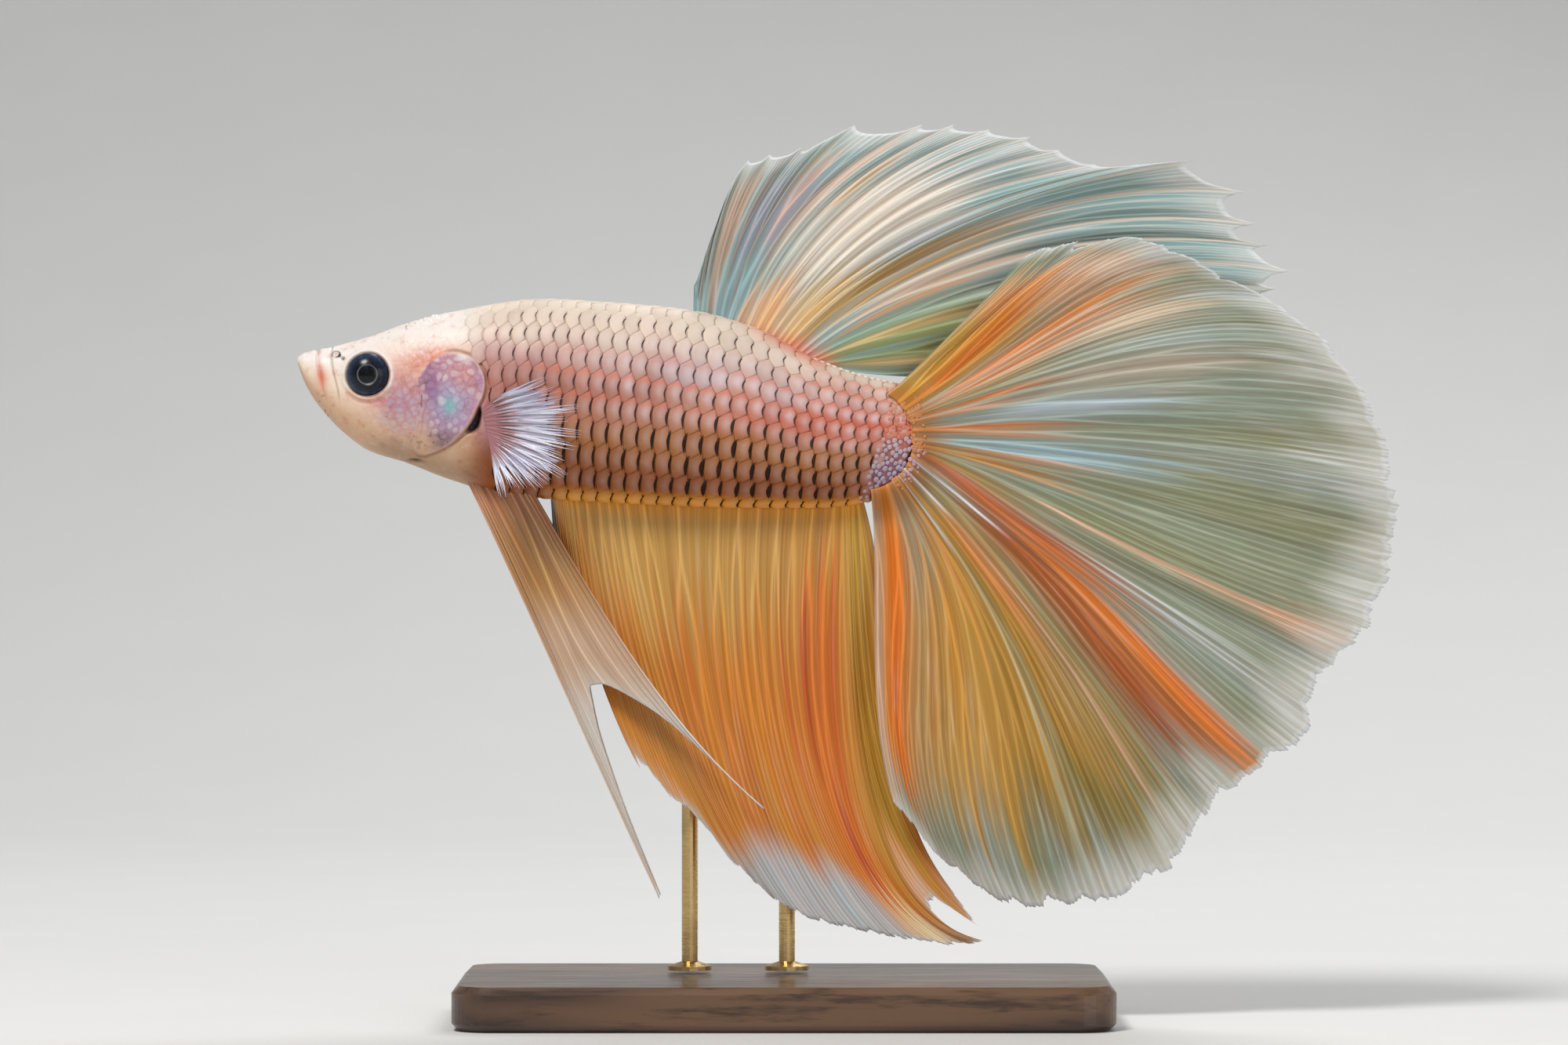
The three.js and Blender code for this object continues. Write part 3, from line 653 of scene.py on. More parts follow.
class Coat:
    """Many small closed plates gathered into one mesh."""

    def __init__(self, side):
        self.side = side
        self.points, self.faces, self.tints, self.uvs = [], [], [], []
        self.count = 0

    def add(self, x, t, lift, tint, root):
        """A plate on the body, whose upper side is a grid of places."""
        top, under = body_surface(x, t, self.side, lift), body_surface(x, t, self.side, lift - PLATE)
        self.add_points(top, under, tint, bake_place(*root, self.side))

    def add_points(self, top, under, tint, uv):
        rows, columns = top.shape[:2]
        index = np.arange(rows * columns).reshape(rows, columns)
        rim = np.concatenate([index[0, :-1], index[:-1, -1], index[-1, :0:-1], index[:0:-1, 0]])
        top, under = top.reshape(-1, 3), under.reshape(-1, 3)[rim]
        n, m = len(top), len(rim)
        ring = np.arange(m)
        after = (ring + 1) % m
        walls = np.stack([rim, rim[after], n + after, n + ring], -1)
        floor = np.stack([n + ring, n + after, np.full(m, n + m)], -1)
        faces = [*quads(index).tolist(), *walls.tolist(), *floor.tolist()]
        if self.side > 0:
            faces = [f[::-1] for f in faces]
        lines = [np.linspace(-HALF_PATCH, HALF_PATCH, k) for k in (rows, columns)]
        patch = np.stack(np.meshgrid(*lines, indexing="ij"), -1).reshape(-1, 2) + uv
        patch = np.vstack([patch, patch[rim], [uv]])
        self.points.append(np.vstack([top, under, under.mean(0)]))
        tint = tint.reshape(-1, 3)
        # The walls' lower rim takes the top's colour darkened to 0.8: painted shade down the plate's sides.
        self.tints.append(np.vstack([tint, tint[rim] * 0.8, tint[:1]]))
        self.uvs.append(patch[np.concatenate([np.array(f) for f in faces])])
        self.faces += [[v + self.count for v in f] for f in faces]
        self.count += n + m + 1

    def build(self, name, material):
        points, tints = np.vstack(self.points), np.vstack(self.tints)
        return make_piece(name, points, self.faces, material, "skin", tints, loop_uv=np.vstack(self.uvs))


def scale_front(row):
    """Where a row's first scale starts, behind the head."""
    return -19.3 if row < 4 else min(-19.8, -19.6 - 1.1 * (row - 5))


def scale_places():
    for row in range(ROWS):
        for column in range(int(COLUMN[-1])):
            x, t = pattern_place(row, column, 0.5, 0.0)
            _, z = body_at(x, t)
            if scale_front(row) < x < tail_limit(z) - (0.1 if z > 39.5 else 0.9):
                yield row, column, float(x), float(t)


def scale_outline(row):
    """The front and rear edges of a scale's bare part, in columns behind its mark, by rows below it."""
    top = 1.02 - ROW_SET_BACK[row]
    foot = 0.1 + ROW_SET_BACK[max(row - 1, 0)]
    rows_below = [-0.67, -0.5, -0.33, 0.0, 0.33, 0.5, 0.67]
    front = [top - 0.04, mix(0.1, top, 0.4), 0.1, -0.03, 0.03, mix(0.03, foot, 0.45), foot - 0.03]
    rear = [top + 0.04, mix(1.1, top, 0.4), 1.1, 0.98, 1.03, mix(1.03, foot, 0.4), foot + 0.03]
    return smooth_through(rows_below, front), smooth_through(rows_below, rear)


def build_scales(side, name, material):
    coat = Coat(side)
    p = np.linspace(0, 1, 8)
    b = SCALE_REACH * np.sin(np.linspace(-1, 1, 13) * math.pi / 2)
    P, B = np.meshgrid(p, b, indexing="ij")
    for row, column, x_mid, t_mid in scale_places():
        if row == ROWS - 1 and side > 0:
            continue
        front, rear = scale_outline(row)
        a = mix(front(B), rear(B), 1.05 * P)
        x, t = pattern_place(row, column, a, B)
        own = float(chance(column, row, 5))
        dome = (1 - np.abs(2 * P - 1) ** 5) * (1 - np.abs(B / SCALE_REACH) ** 7)
        grow = (0.3 + 0.7 * float(rise(-23.5, -17.5, x_mid))) * (0.55 if row > 8 else 1.0)
        lift = -SCALE_DEPTH + grow * (0.012 + 0.055 * dome + 0.045 * P + 0.01 * (own - 0.5))
        _, z = body_at(x, t)
        tint = markings(x, z) * (0.95 + 0.16 * (own - 0.5))
        blush = bump(B, -0.5, 0.22) * bump(z, 42.6 - 0.09 * (x + 6), 1.8) * rise(-19, -15, x)
        tint = paint(tint, SALMON, 0.75 * blush)
        # Painted highlight: a pale lilac-white spot near the middle of scales on the middle rows, and every
        # scale lighter at its middle.
        shine = bump(P, 0.62, 0.28) * bump(B, -0.12, 0.3) * bump(t, 0.62, 0.2)
        tint = paint(tint, mix(WHITE, LILAC, 0.4), (0.25 + 0.5 * own) * shine * rise(-15, -10, x))
        tint = paint(tint, mix(tint, WHITE, 0.3), 0.5 * bump(P, 0.6, 0.3) * bump(B, 0, 0.4))
        # Painted shade: each scale darkens towards its rim, as in the grooves between the scales.
        edge = mix(0.55, 0.22, float(rise(4, 8, float(row)))) * float(rise(-23.0, -16.5, x_mid))
        tint = paint(tint, tint * np.array([0.55, 0.42, 0.38]), edge * fall(0.0, 0.4, dome))
        coat.add(x, t, lift, tint, (x_mid, t_mid))
    return coat.build(name, material)


def build_marks(side, name, material):
    """The dark crescent at the front of each scale. On the lower rows it forks at the top."""
    coat = Coat(side)
    s = np.linspace(-1, 1, 13)
    across = np.array([-1.0, 0.0, 1.0])
    tail = (s + 1) / 2
    taper = 1.05 - tail
    for row, column, x_mid, t_mid in scale_places():
        x0 = x_mid - 0.5
        low = float(fall(2.5, 5.5, np.array(float(row))))
        _, z0 = body_at(x0, t_mid)
        start = (-20.6, -18.8) if row < 8 else (-19.5, -17.0)
        shown = rise(*start, x0) * fall(-2.2, -0.6, x0 - tail_limit(z0))
        near = float(chance(column, row, 8))
        strength = float(shown) * (0.7 + 0.45 * near) * {0: 0.4, 7: 0.9, 8: 0.7}.get(row, 1.0)
        if row >= ROWS - 2 or strength < 0.2:
            continue
        ink = mix(seen(92, 86, 92), np.array([0.026, 0.01, 0.005]), low)
        reach = mix(0.23, 0.38, low) * (0.8 + 0.25 * strength)
        stout = float(rise(-10, -4, x0) - 0.75 * rise(0.5, 4.5, x0))
        wide = mix(0.042, mix(0.1, 0.17, stout), low) * strength
        body = -0.03 + (0.04 + 0.05 * near) * s + 0.1 * s * s
        half = wide * np.maximum(0.06, np.cos(s * math.pi / 2) ** 0.55) * (1 - mix(0.15, -0.12, low) * s)
        strokes = [(body, -reach * s, half, 0.02)]
        thin = mix(0.008, 0.03, low)
        if low > 0.3:
            top = body[-1] - 0.01, -reach * 0.93
            long = 0.2 * (0.3 + 0.9 * near) * (0.4 + 0.6 * stout)
            strokes.append((top[0] + long * tail, top[1] - 0.14 * tail**0.8, thin * taper, 0.014))
            strokes.append((top[0] - 0.03 - 0.1 * tail, top[1] - 0.1 * tail, 1.2 * thin * taper, 0.014))
        strokes.append((body[0] - 0.03 * tail, reach * 0.95 + 0.18 * tail, 0.7 * thin * taper, 0.012))
        for line, below, width, thick in strokes:
            along = np.gradient(line) * PITCH(x_mid), np.gradient(below) * ROW_HEIGHT
            length = np.hypot(*along) + 1e-9
            a = line[:, None] + (width * np.abs(along[1]) / length)[:, None] * across
            step = width * along[0] / length * PITCH(x_mid) / ROW_HEIGHT * np.sign(along[1])
            rows_below = below[:, None] - step[:, None] * across
            x, t = pattern_place(row, column, a, rows_below)
            lift = -SCALE_DEPTH + 0.078 + thick * (1.2 - 0.5 * np.abs(across))[None, :] + 0 * x
            coat.add(x, t, lift, flat(ink, x), (x0, t_mid))
    return coat.build(name, material)


# How many places are tried for beads and how far apart those kept are, and the beads on the tail fin's flesh.
BEAD_TRIES, BEAD_GAP, FLESH_BEADS = 1700, 0.285, 90


def build_beads(side, name, material, caudal):
    """Round pearly grains where the tail fin starts, and a row of small pale scales on the back before it."""
    coat = Coat(side)
    a, b = np.meshgrid(np.linspace(-1, 1, 9), np.linspace(-1, 1, 9), indexing="ij")
    over, up = a * np.sqrt(1 - b * b / 2), b * np.sqrt(1 - a * a / 2)
    out = np.hypot(over, up)
    hollow = np.sqrt(np.maximum(0, 1 - out**2)) - 0.14 * bump(out, 0, 0.45)
    girth = smooth_through([2, 6, 8, 10], [12.6, 10.2, 8.4, 4.5])
    places = []
    for i in range(BEAD_TRIES):
        x, t = mix(4.6, 9.2, chance(i, 1, 40)), mix(0.04, 0.9, chance(i, 2, 40))
        beyond = float(x - tail_limit(body_at(x, t)[1]))
        apart = (math.hypot(x - p[0], (t - p[1]) * girth(x)) for p in places)
        if -1.5 < beyond < 0.7 and all(gap > BEAD_GAP for gap in apart):
            places.append((float(x), float(t), 0.14 + 0.06 * float(chance(i, 3, 40)), 0.0))
    places += [(2.2 + 0.42 * i, 0.955, 0.17, 1.0) for i in range(13)]
    for number, (x0, t0, radius, pale) in enumerate(places):
        x = x0 + radius * over
        t = t0 + radius * up / girth(x0)
        _, z = body_at(x, t)
        beyond = float(x0 - tail_limit(body_at(x0, t0)[1]))
        lift = -0.065 + 0.07 * hollow - float(tail_sink(beyond)) * (1 - pale)
        own = float(chance(number, 4, 40))
        colour = mix(LILAC, PALE_BLUE, own) if t0 < 0.5 else mix(AMBER, SALMON, own)
        tint = paint(markings(x, z), mix(colour, WHITE, pale), 0.5 + 0 * x)
        # Painted highlight: a white ring round each bead.
        tint = paint(tint, WHITE, (0.25 if t0 < 0.5 else 0.12) * bump(out, 0.5, 0.35))
        coat.add(x, t, lift, tint, (x0, t0))
    for i in range(FLESH_BEADS):
        q, far = mix(0.05, 0.9, chance(i, 5, 40)), 0.85 * float(chance(i, 6, 40))
        x0, y0, z0 = caudal.at_share(q, far / 30)
        radius = mix(0.16, 0.09, far / 0.85)
        swell = 0.05 + 1.4 * math.exp(-((far / 1.5) ** 2)) + 0.02 + 0.035 * hollow
        top = np.stack([x0 + radius * over, side * swell + y0, z0 + radius * up], -1)
        own = float(chance(i, 7, 40))
        bead = mix(PINK, LILAC, own) if 0.5 < q < 0.8 else mix(AMBER, CORAL, own)
        # Painted highlight: a faint white ring round each bead on the tail fin's flesh.
        tint = paint(flat(bead, out), WHITE, 0.15 * bump(out, 0.62, 0.25))
        coat.add_points(top, top - [0, 0.25 * side, 0], tint, bake_place(x0, 0.5, side))
    return coat.build(name, material)


def mark_material():
    n = Nodes("scale_mark")
    mottle = n.noise(n.position(), 2500)
    colour = n.blend(n.tint(), (0.1, 0.055, 0.035), n.remap(mottle, 0.5, 0.8, 0, 0.4))
    n.surface(colour, mottle, 0.45, 0.6, Specular_IOR_Level=0.1)
    n.set(Normal=n.bump(mottle, 0.00001))
    return n.material


# ---------------------------------------------------------------- eyes


def build_eye(side, name, node, material):
    rings, around = 60, 96
    theta = np.linspace(0, math.pi * 0.62, rings + 1)[1:]
    th, ph = np.meshgrid(theta, np.linspace(0, 2 * math.pi, around, endpoint=False), indexing="ij")
    y_mid = half_width_at(EYE_X) - 0.4
    r, out = EYE_R * np.sin(th), 0.9 * np.cos(th) + 0.04 * bump(th, 0, 0.7)
    dome = np.stack([EYE_X + r * np.cos(ph), side * (y_mid + out), EYE_Z + r * np.sin(ph)], -1)
    poles = [[EYE_X, side * (y_mid + y), EYE_Z] for y in (0.94, -0.3)]
    points = np.vstack([dome.reshape(-1, 3), poles])
    index = np.arange(rings * around).reshape(rings, around)
    after = np.roll(index, -1, axis=1)
    n = rings * around
    caps = [[n, int(a), int(b)] for a, b in zip(index[0], after[0])]
    caps += [[n + 1, int(b), int(a)] for a, b in zip(index[-1], after[-1])]
    faces = [*quads(index, closed=True).tolist(), *caps]
    if side > 0:
        faces = [f[::-1] for f in faces]
    rho, turn = np.append(r.ravel(), [0, EYE_R]), np.append(ph.ravel(), [0, 0])
    tint = flat(np.array([0.002, 0.002, 0.003]), rho)
    flecks = 0.5 + 0.5 * noise(turn * 9, rho * 2, 41)
    tint = paint(tint, np.array([0.012, 0.02, 0.045]), rise(0.7, 1.2, rho) * (0.5 + 0.5 * flecks))
    tint = paint(tint, np.array([0.06, 0.09, 0.15]), 0.7 * bump(rho, 1.3, 0.1) * flecks)
    # Painted glint: the ring round the pupil is lighter on its lower side, with a bright spot low on it.
    low = 0.5 - 0.5 * np.sin(turn)
    tint = layers(
        tint,
        (np.array([0.2, 0.21, 0.24]), (0.45 + 0.5 * low) * bump(rho, 0.66, 0.035)),
        (np.array([0.4, 0.4, 0.42]), 0.8 * bump(rho, 0.68, 0.06) * bump(turn, 4.9, 0.35)),
        (np.array([0.24, 0.23, 0.24]), 0.8 * rise(1.42, 1.47, rho)),
    )
    return make_piece(name, points, faces, material, "eye", tint, [node])


def eye_material():
    n = Nodes("eye")
    streaks = n.noise(n.position(), 5000)
    colour = n.blend(n.tint(), (0.02, 0.035, 0.07), n.remap(streaks, 0.5, 0.8, 0, 0.3))
    n.surface(colour, streaks, 0.2, 0.28, Specular_IOR_Level=0.25)
    n.set(Normal=n.bump(streaks, 0.00001, 0.2), Coat_Weight=0.05, Coat_Roughness=0.1)
    return n.material


# ---------------------------------------------------------------- fins

# How far the rays of a fin lean at the root, by where their tips lie along the margin.
DORSAL_LEAN = smooth_through([0, 0.17, 0.3, 0.37, 0.55, 0.75, 0.9, 1], [0, 0, 0.07, 0.12, 0.1, 0.07, 0.04, 0])
ANAL_LEAN = smooth_through([0, 0.4, 0.5, 0.6, 0.78, 0.88, 1], [0, -0.02, 0, -0.07, -0.05, 0, 0])
CAUDAL_LEAN = smooth_through(
    [0, 0.09, 0.15, 0.22, 0.29, 0.35, 0.52, 0.645, 0.75, 0.81, 0.95, 1],
    [0, -0.08, -0.09, -0.05, 0, 0, 0.08, 0.17, 0.14, 0.13, 0.1, 0],
)
# Key rays from front to rear: root, tip X, tip Z, and the angles in degrees at which the ray leaves its root
# and meets its tip.
DORSAL_RAYS = [
    (-6.1, -6.1, 49.7, 95, 90),
    (-5.8, -4.7, 53.5, 93, 72),
    (-5.2, -2.4, 58.1, 88, 62),
    (-3.8, 1.2, 59.0, 84, 48),
    (-2.4, 4.8, 60.5, 76, 38),
    (-1.2, 11.5, 60.5, 64, 27),
    (-0.3, 17.6, 59.5, 57, 16),
    (0.1, 22.4, 57.8, 53, 12),
    (0.5, 27.8, 58.1, 50, 8),
    (1.1, 31.3, 56.0, 42, -3),
    (1.6, 32.8, 52.6, 32, -6),
    (2.0, 34.4, 50.6, 20, -8),
    (2.5, 29.0, 45.6, -11, 8),
]
ANAL_RAYS = [
    (-15.8, -15.4, 32.0, -84, -75),
    (-15.3, -13.4, 26.0, -83, -70),
    (-14.6, -9.6, 16.7, -83, -64),
    (-11.7, -3.3, 10.3, -83, -56),
    (-7.5, 2.1, 6.3, -84, -50),
    (-3.3, 6.9, 5.4, -86, -44),
    (0.8, 11.6, 4.7, -88, -26),
    (3.9, 14.0, 5.2, -86, -8),
    (4.6, 13.2, 6.3, -88, -32),
    (5.3, 10.3, 10.1, -73, -60),
]
CAUDAL_ROOT = {"x": 5.4, "z": 39.2, "length": 3.3, "height": 3.4}
CAUDAL_RAYS = [
    (62, 17.2, 52.5, 42, 46),
    (57, 19.7, 53.2, 42, 42),
    (50, 23.9, 53.1, 40, 14),
    (38, 30.7, 50.2, 33, -8),
    (26, 38.2, 44.8, 20, -20),
    (12, 41.6, 38.4, 6, -12),
    (-2, 42.2, 34.4, -6, -12),
    (-13, 41.2, 28.6, -20, -16),
    (-24, 39.0, 24.5, -32, -26),
    (-29, 37.1, 22.4, -36, -32),
    (-34, 36.6, 19.1, -40, -38),
    (-42, 32.1, 15.9, -46, -42),
    (-50, 27.9, 10.7, -52, -58),
    (-58, 21.2, 7.2, -60, -68),
    (-66, 17.2, 6.5, -68, -64),
    (-74, 11.9, 9.3, -80, -60),
    (-82, 7.7, 13.8, -84, -70),
]
PECTORAL_RAYS = [
    (0.0, -15.7, 43.8, 42, 30),
    (0.2, -13.6, 41.9, 20, 12),
    (0.4, -13.1, 39.9, 2, -4),
    (0.6, -13.6, 37.4, -20, -24),
    (0.8, -16.0, 35.1, -46, -54),
    (1.0, -19.3, 35.2, -80, -90),
]
PELVIC_RAYS = [
    (0.0, -8.4, 8.3, -64, -64.5),
    (0.03, -8.36, 8.42, -64, -64),
    (0.12, -10.9, 14.8, -63, -64),
    (0.22, -12.6, 20.0, -62, -66),
    (0.4, -13.1, 22.5, -61, -66),
    (0.6, -12.2, 22.7, -60, -50),
    (0.74, -9.0, 21.05, -59, -42),
    (0.87, -5.2, 17.9, -59, -40),
    (0.97, -1.4, 14.33, -60, -40),
    (1.0, -1.34, 14.42, -60, -40),
]


def ripple(r, phase):
    return np.sin(2.1 * r + phase) + 0.5 * np.sin(3.7 * r + 2 * phase)


def dorsal_sway(r, v):
    return 1.5 * rise(5, 10.5, r) * rise(0, 0.3, v) + 0.3 * v * ripple(r, 0.4)


def anal_sway(r, v):
    return 1.3 * rise(4.5, 8, r) * rise(0, 0.5, v) - 0.3 * v + 0.32 * v * ripple(r, 1.7)


def caudal_sway(r, v):
    return -1.0 * rise(0, 0.7, v) + 0.5 * v**1.3 * ripple(r, 0.9)


def lay(colour, q, v, n, stripes):
    """Paint stripes along the rays. Each: colour, amount, place, half width, and where it starts and ends."""
    q = q + 0.005 * noise(n * 5.3, v * 1.2, 97) + 0.003 * noise(n * 17.1, v * 0.8, 98)
    frayed = v + 0.07 * noise(n * 7.3, 0 * n, 99) + 0.05 * noise(n * 21, 0 * n, 100)
    for new, amount, place, half, start, end in stripes:
        reach = rise(start - 0.07, start + 0.07, frayed) * fall(end - 0.2, end + 0.1, frayed)
        colour = paint(colour, new, amount * bump(q, place, half * (0.6 + 0.4 * reach)) * reach)
    return colour


def grain(n, v, across, along, seed, low=0.0, high=0.7):
    """Fine streaks that run along the rays."""
    return rise(low, high, noise(n * across, v * along, seed))


def closed_sheet(points, other, material, tint, values, **piece):
    """One thin closed mesh from the two faces of a sheet, each a grid of points."""
    nu, nv = points.shape[:2]
    index = np.arange(nu * nv).reshape(nu, nv)
    back = index + nu * nv
    faces = [quads(index), quads(back)[:, ::-1]]
    for a, b, order in (
        (index[:, 0], back[:, 0], 1),
        (index[:, -1], back[:, -1], -1),
        (index[0, :], back[0, :], -1),
        (index[-1, :], back[-1, :], 1),
    ):
        faces.append(np.stack([a[:-1], b[:-1], b[1:], a[1:]], -1)[:, ::order])
    faces = np.concatenate(faces)
    points = np.concatenate([points.reshape(-1, 3), other.reshape(-1, 3)])
    middle = index[nu // 2, nv // 2], index[nu // 2 + 1, nv // 2], index[nu // 2, nv // 2 + 1]
    a, b, c = (points[k] for k in middle)
    outward = points[middle[0]] - points[middle[0] + nu * nv]
    if np.dot(np.cross(b - a, c - a), outward) < 0:
        faces = faces[:, ::-1]
    q, v = np.meshgrid(np.linspace(0.01, 0.99, nu), np.linspace(0.0, 0.48, nv), indexing="ij")
    uv = np.concatenate([np.stack([q, v + low], -1).reshape(-1, 2) for low in (0.01, 0.51)])
    tint = np.concatenate([tint.reshape(-1, 3)] * 2)
    values = {key: np.tile(numbers.ravel(), 2) for key, numbers in values.items()}
    return make_piece(
        points=points, faces=faces, material=material, tint=tint, values=values, loop_uv=uv[faces.ravel()],
        **piece,
    )


# Steps that measure a margin, how far rays stray sideways, in rays, and streaks to a ray in fin_material.
MARGIN_SAMPLES, STRAY, STREAKS = 4001, 0.14, 8.0


class Fin:
    """The side view and lie of a fin: where a share q of its margin and a share v of a ray's length lie."""

    def __init__(self, rays, root_of, sway, lean=None, settle=1.5, evenness=0.6):
        self.columns = [smooth_through(range(len(rays)), column) for column in zip(*rays)]
        self.root_of, self.sway = root_of, sway
        self.lean, self.settle = lean or (lambda q: 0 * q), settle
        self.r_fine = np.linspace(0, len(rays) - 1, MARGIN_SAMPLES)
        margin = np.hypot(np.diff(self.columns[1](self.r_fine)), np.diff(self.columns[2](self.r_fine)))
        self.run = np.concatenate([[0], np.cumsum(margin + evenness * np.diff(self.r_fine))])
        self.run /= self.run[-1]

    def key(self, q):
        return np.interp(q, self.run, self.r_fine)

    def share(self, r):
        return np.interp(r, self.r_fine, self.run)

    def leant(self, q, v):
        return self.key(clamp01(q - self.lean(q) * (1 - v) ** self.settle))

    def length(self, r):
        root = self.root_of(self.columns[0](r))
        return np.hypot(self.columns[1](r) - root[0], self.columns[2](r) - root[1])

    def at(self, r, v):
        root = self.root_of(self.columns[0](r))
        tip = self.columns[1](r), self.columns[2](r)
        x, z = along_ray(root, tip, self.columns[3](r), self.columns[4](r), v)
        return x, self.sway(r, v), z

    def at_share(self, q, v):
        q, v = np.array(float(q)), np.array(float(v))
        return [float(c) for c in self.at(self.leant(q, v), v)]


def build_fin(name, node, slot, material, fin, tint_of, tips, across, along=60, side=1.0, **look):
    """A fin as one closed thin sheet with a ridge along each ray.

    tips lists the principal rays, each as its key-ray number, how far its tip is set back and how deep the
    web behind it is cut, in millimetres. A ray branches in two at each share of its length in
    look["branches"]. look["cut"] deepens the web at each level of branching, and look["notches"] are bays.
    """
    q, v = np.linspace(0, 1, across + 1), np.linspace(0, 1, along + 1) ** 1.15
    tip_q = np.array([fin.share(tip[0]) for tip in tips])
    order = np.arange(len(tips))
    Q, V = np.meshgrid(q, v, indexing="ij")
    R, N = fin.leant(Q, V), np.interp(Q, tip_q, order)
    length = fin.length(R)
    stray = STRAY * noise(N * 0.9, V * 1.1, 51) * np.sin(math.pi * V)
    W = ((N + stray + 0.5) % 1) - 0.5
    # how far the margin is cut back, one level of branching at a time
    fold, cut = np.abs(((N + 0.5) % 1) - 0.5), np.interp(N, order, [tip[1] for tip in tips])
    depths = np.array([tip[2] for tip in tips])[np.clip(np.floor(N).astype(int), 0, len(tips) - 1)]
    behind, skew = N % 1, look.get("skew", 0.5)
    first_web = np.where(behind < skew, behind / skew, (1 - behind) / (1 - skew))
    for level, depth in enumerate([depths, *look["cut"]]):
        web = clamp01(np.abs(fold) * 2 * 2.0**level) if level else first_web
        uneven = 1 + (0.6 if level else 0) * noise(np.floor(N * 2**level), level, 61)
        cut = cut + depth * (1 - (1 - web) ** look.get("point", 2.6)) * uneven
        fold = np.abs(fold) - 2.0 ** -(level + 2)
    for centre, half, depth in look.get("notches", ()):
        cut = cut + depth * np.sqrt(np.maximum(0, 1 - ((fin.key(Q) - centre) / half) ** 2))
    reach = V * mix(1.0, 1 - cut / np.maximum(length, 1.0), rise(0.2, 1.0, V))
    x, y, z = fin.at(R, reach)
    dx, dz, dn = (np.gradient(grid, axis=0) for grid in (x, z, N))
    spacing = np.hypot(dx, dz) / np.maximum(dn, 1e-6)
    for level, start in enumerate(look["branches"]):
        opened = rise(start - 0.03, start + 0.2, V + 0.09 * noise(N * 1.7, 0 * N, 71 + level))
        W = np.abs(W) - opened * 2.0 ** -(level + 2)
    gap = np.abs(W) * spacing
    ridge = np.exp(-((gap / mix(*look["ray"], V)) ** 2))
    pleat = np.cos(2 * math.pi * (N + stray)) + 0.6 * noise(N * 0.45, V * 1.5, 52)
    y = y + look["pleat"] * pleat * rise(0.03, 0.35, V) * (1 - 0.4 * rise(0.85, 1.0, V))
    if "lean" in look:
        y = y + look["lean"](z)
    flesh = look["flesh"]
    half = look["sheet"] * mix(1.0, 0.55, V) + flesh[0] * np.exp(-((V * length / flesh[1]) ** 2))
    half = half + look["ridge"] * (mix(1.0, 0.6, V) + 1.5 * np.exp(-V * 14)) * ridge
    half = half * mix(1.0, 0.25, rise(0.97, 1.0, V))
    near, far = np.stack([x, side * (y - half), z], -1), np.stack([x, side * (y + half), z], -1)
    values = {"ray_gap": gap, "across": N * STREAKS, "along": V * np.median(length)}
    tint = tint_of(Q, V, N, ridge, z)
    return closed_sheet(near, far, material, tint, values, name=name, slot=slot, replaces=[node])


def even_tips(fin, count, web, last=None, ragged=0.0):
    """Principal rays at even spacing from the first key ray to another, with uneven tips."""
    end = fin.share(fin.r_fine[-1] if last is None else last)
    tips = []
    for i in range(count + 1):
        nudge = 0.3 * (float(chance(i, 4, 63)) - 0.5) if 0 < i < count else 0.0
        place = float(fin.key(end * ((i + nudge) / count)))
        tips.append((place, ragged * float(chance(i, 3, 63)), web * (0.6 + 0.8 * float(chance(i, 5, 63)))))
    return tips


TEAL, SAGE, MILK, ICE = seen(138, 162, 162), seen(134, 142, 114), seen(200, 208, 210), seen(172, 190, 202)
ORANGE, HOT, BRICK, RUST = seen(212, 136, 52), seen(222, 124, 30), seen(188, 88, 24), seen(162, 96, 34)
GOLD, OCHRE, CORAL, SHELL = seen(196, 152, 78), seen(164, 130, 68), seen(210, 132, 82), seen(212, 176, 152)
LAGOON, SILK = seen(128, 168, 172), seen(236, 236, 246)
BARK, STRAW, PEARL, MOSS = seen(158, 132, 112), seen(216, 180, 126), seen(222, 211, 198), seen(132, 142, 92)


def finish_fin(colour, v, n, ridge, line=0.5, edge=0.6, shade=1.0):
    """Pale ray lines, darker web between them, fine streaks, and a pale margin."""
    light = np.minimum(colour * 1.35 + 0.03, 0.85)
    web = 0.4 * shade * grain(n, v, 19, 1.1, 131) * (1 - ridge)
    colour = paint(colour, colour * np.array([0.62, 0.56, 0.5]), web)
    colour = layers(
        colour,
        (colour * 0.7, 0.35 * shade * grain(n, v, 43, 0.9, 134, 0.1, 0.7)),
        (light, 1.3 * line * rise(0.2, 0.9, ridge)),
        (light, 0.4 * grain(n, v, 31, 0.9, 132, 0.2, 0.9)),
    )
    whiten = 1.25 * edge * rise(0.86, 0.99, v + 0.05 * noise(n * 2.3, 0 * n, 133))
    colour = paint(colour, mix(MILK, WHITE, 0.3), whiten * (0.7 + 0.3 * grain(n, v, 27, 0.7, 135, -0.4, 0.4)))
    return paint(colour, seen(236, 240, 244), 0.85 * rise(0.988, 0.997, v))


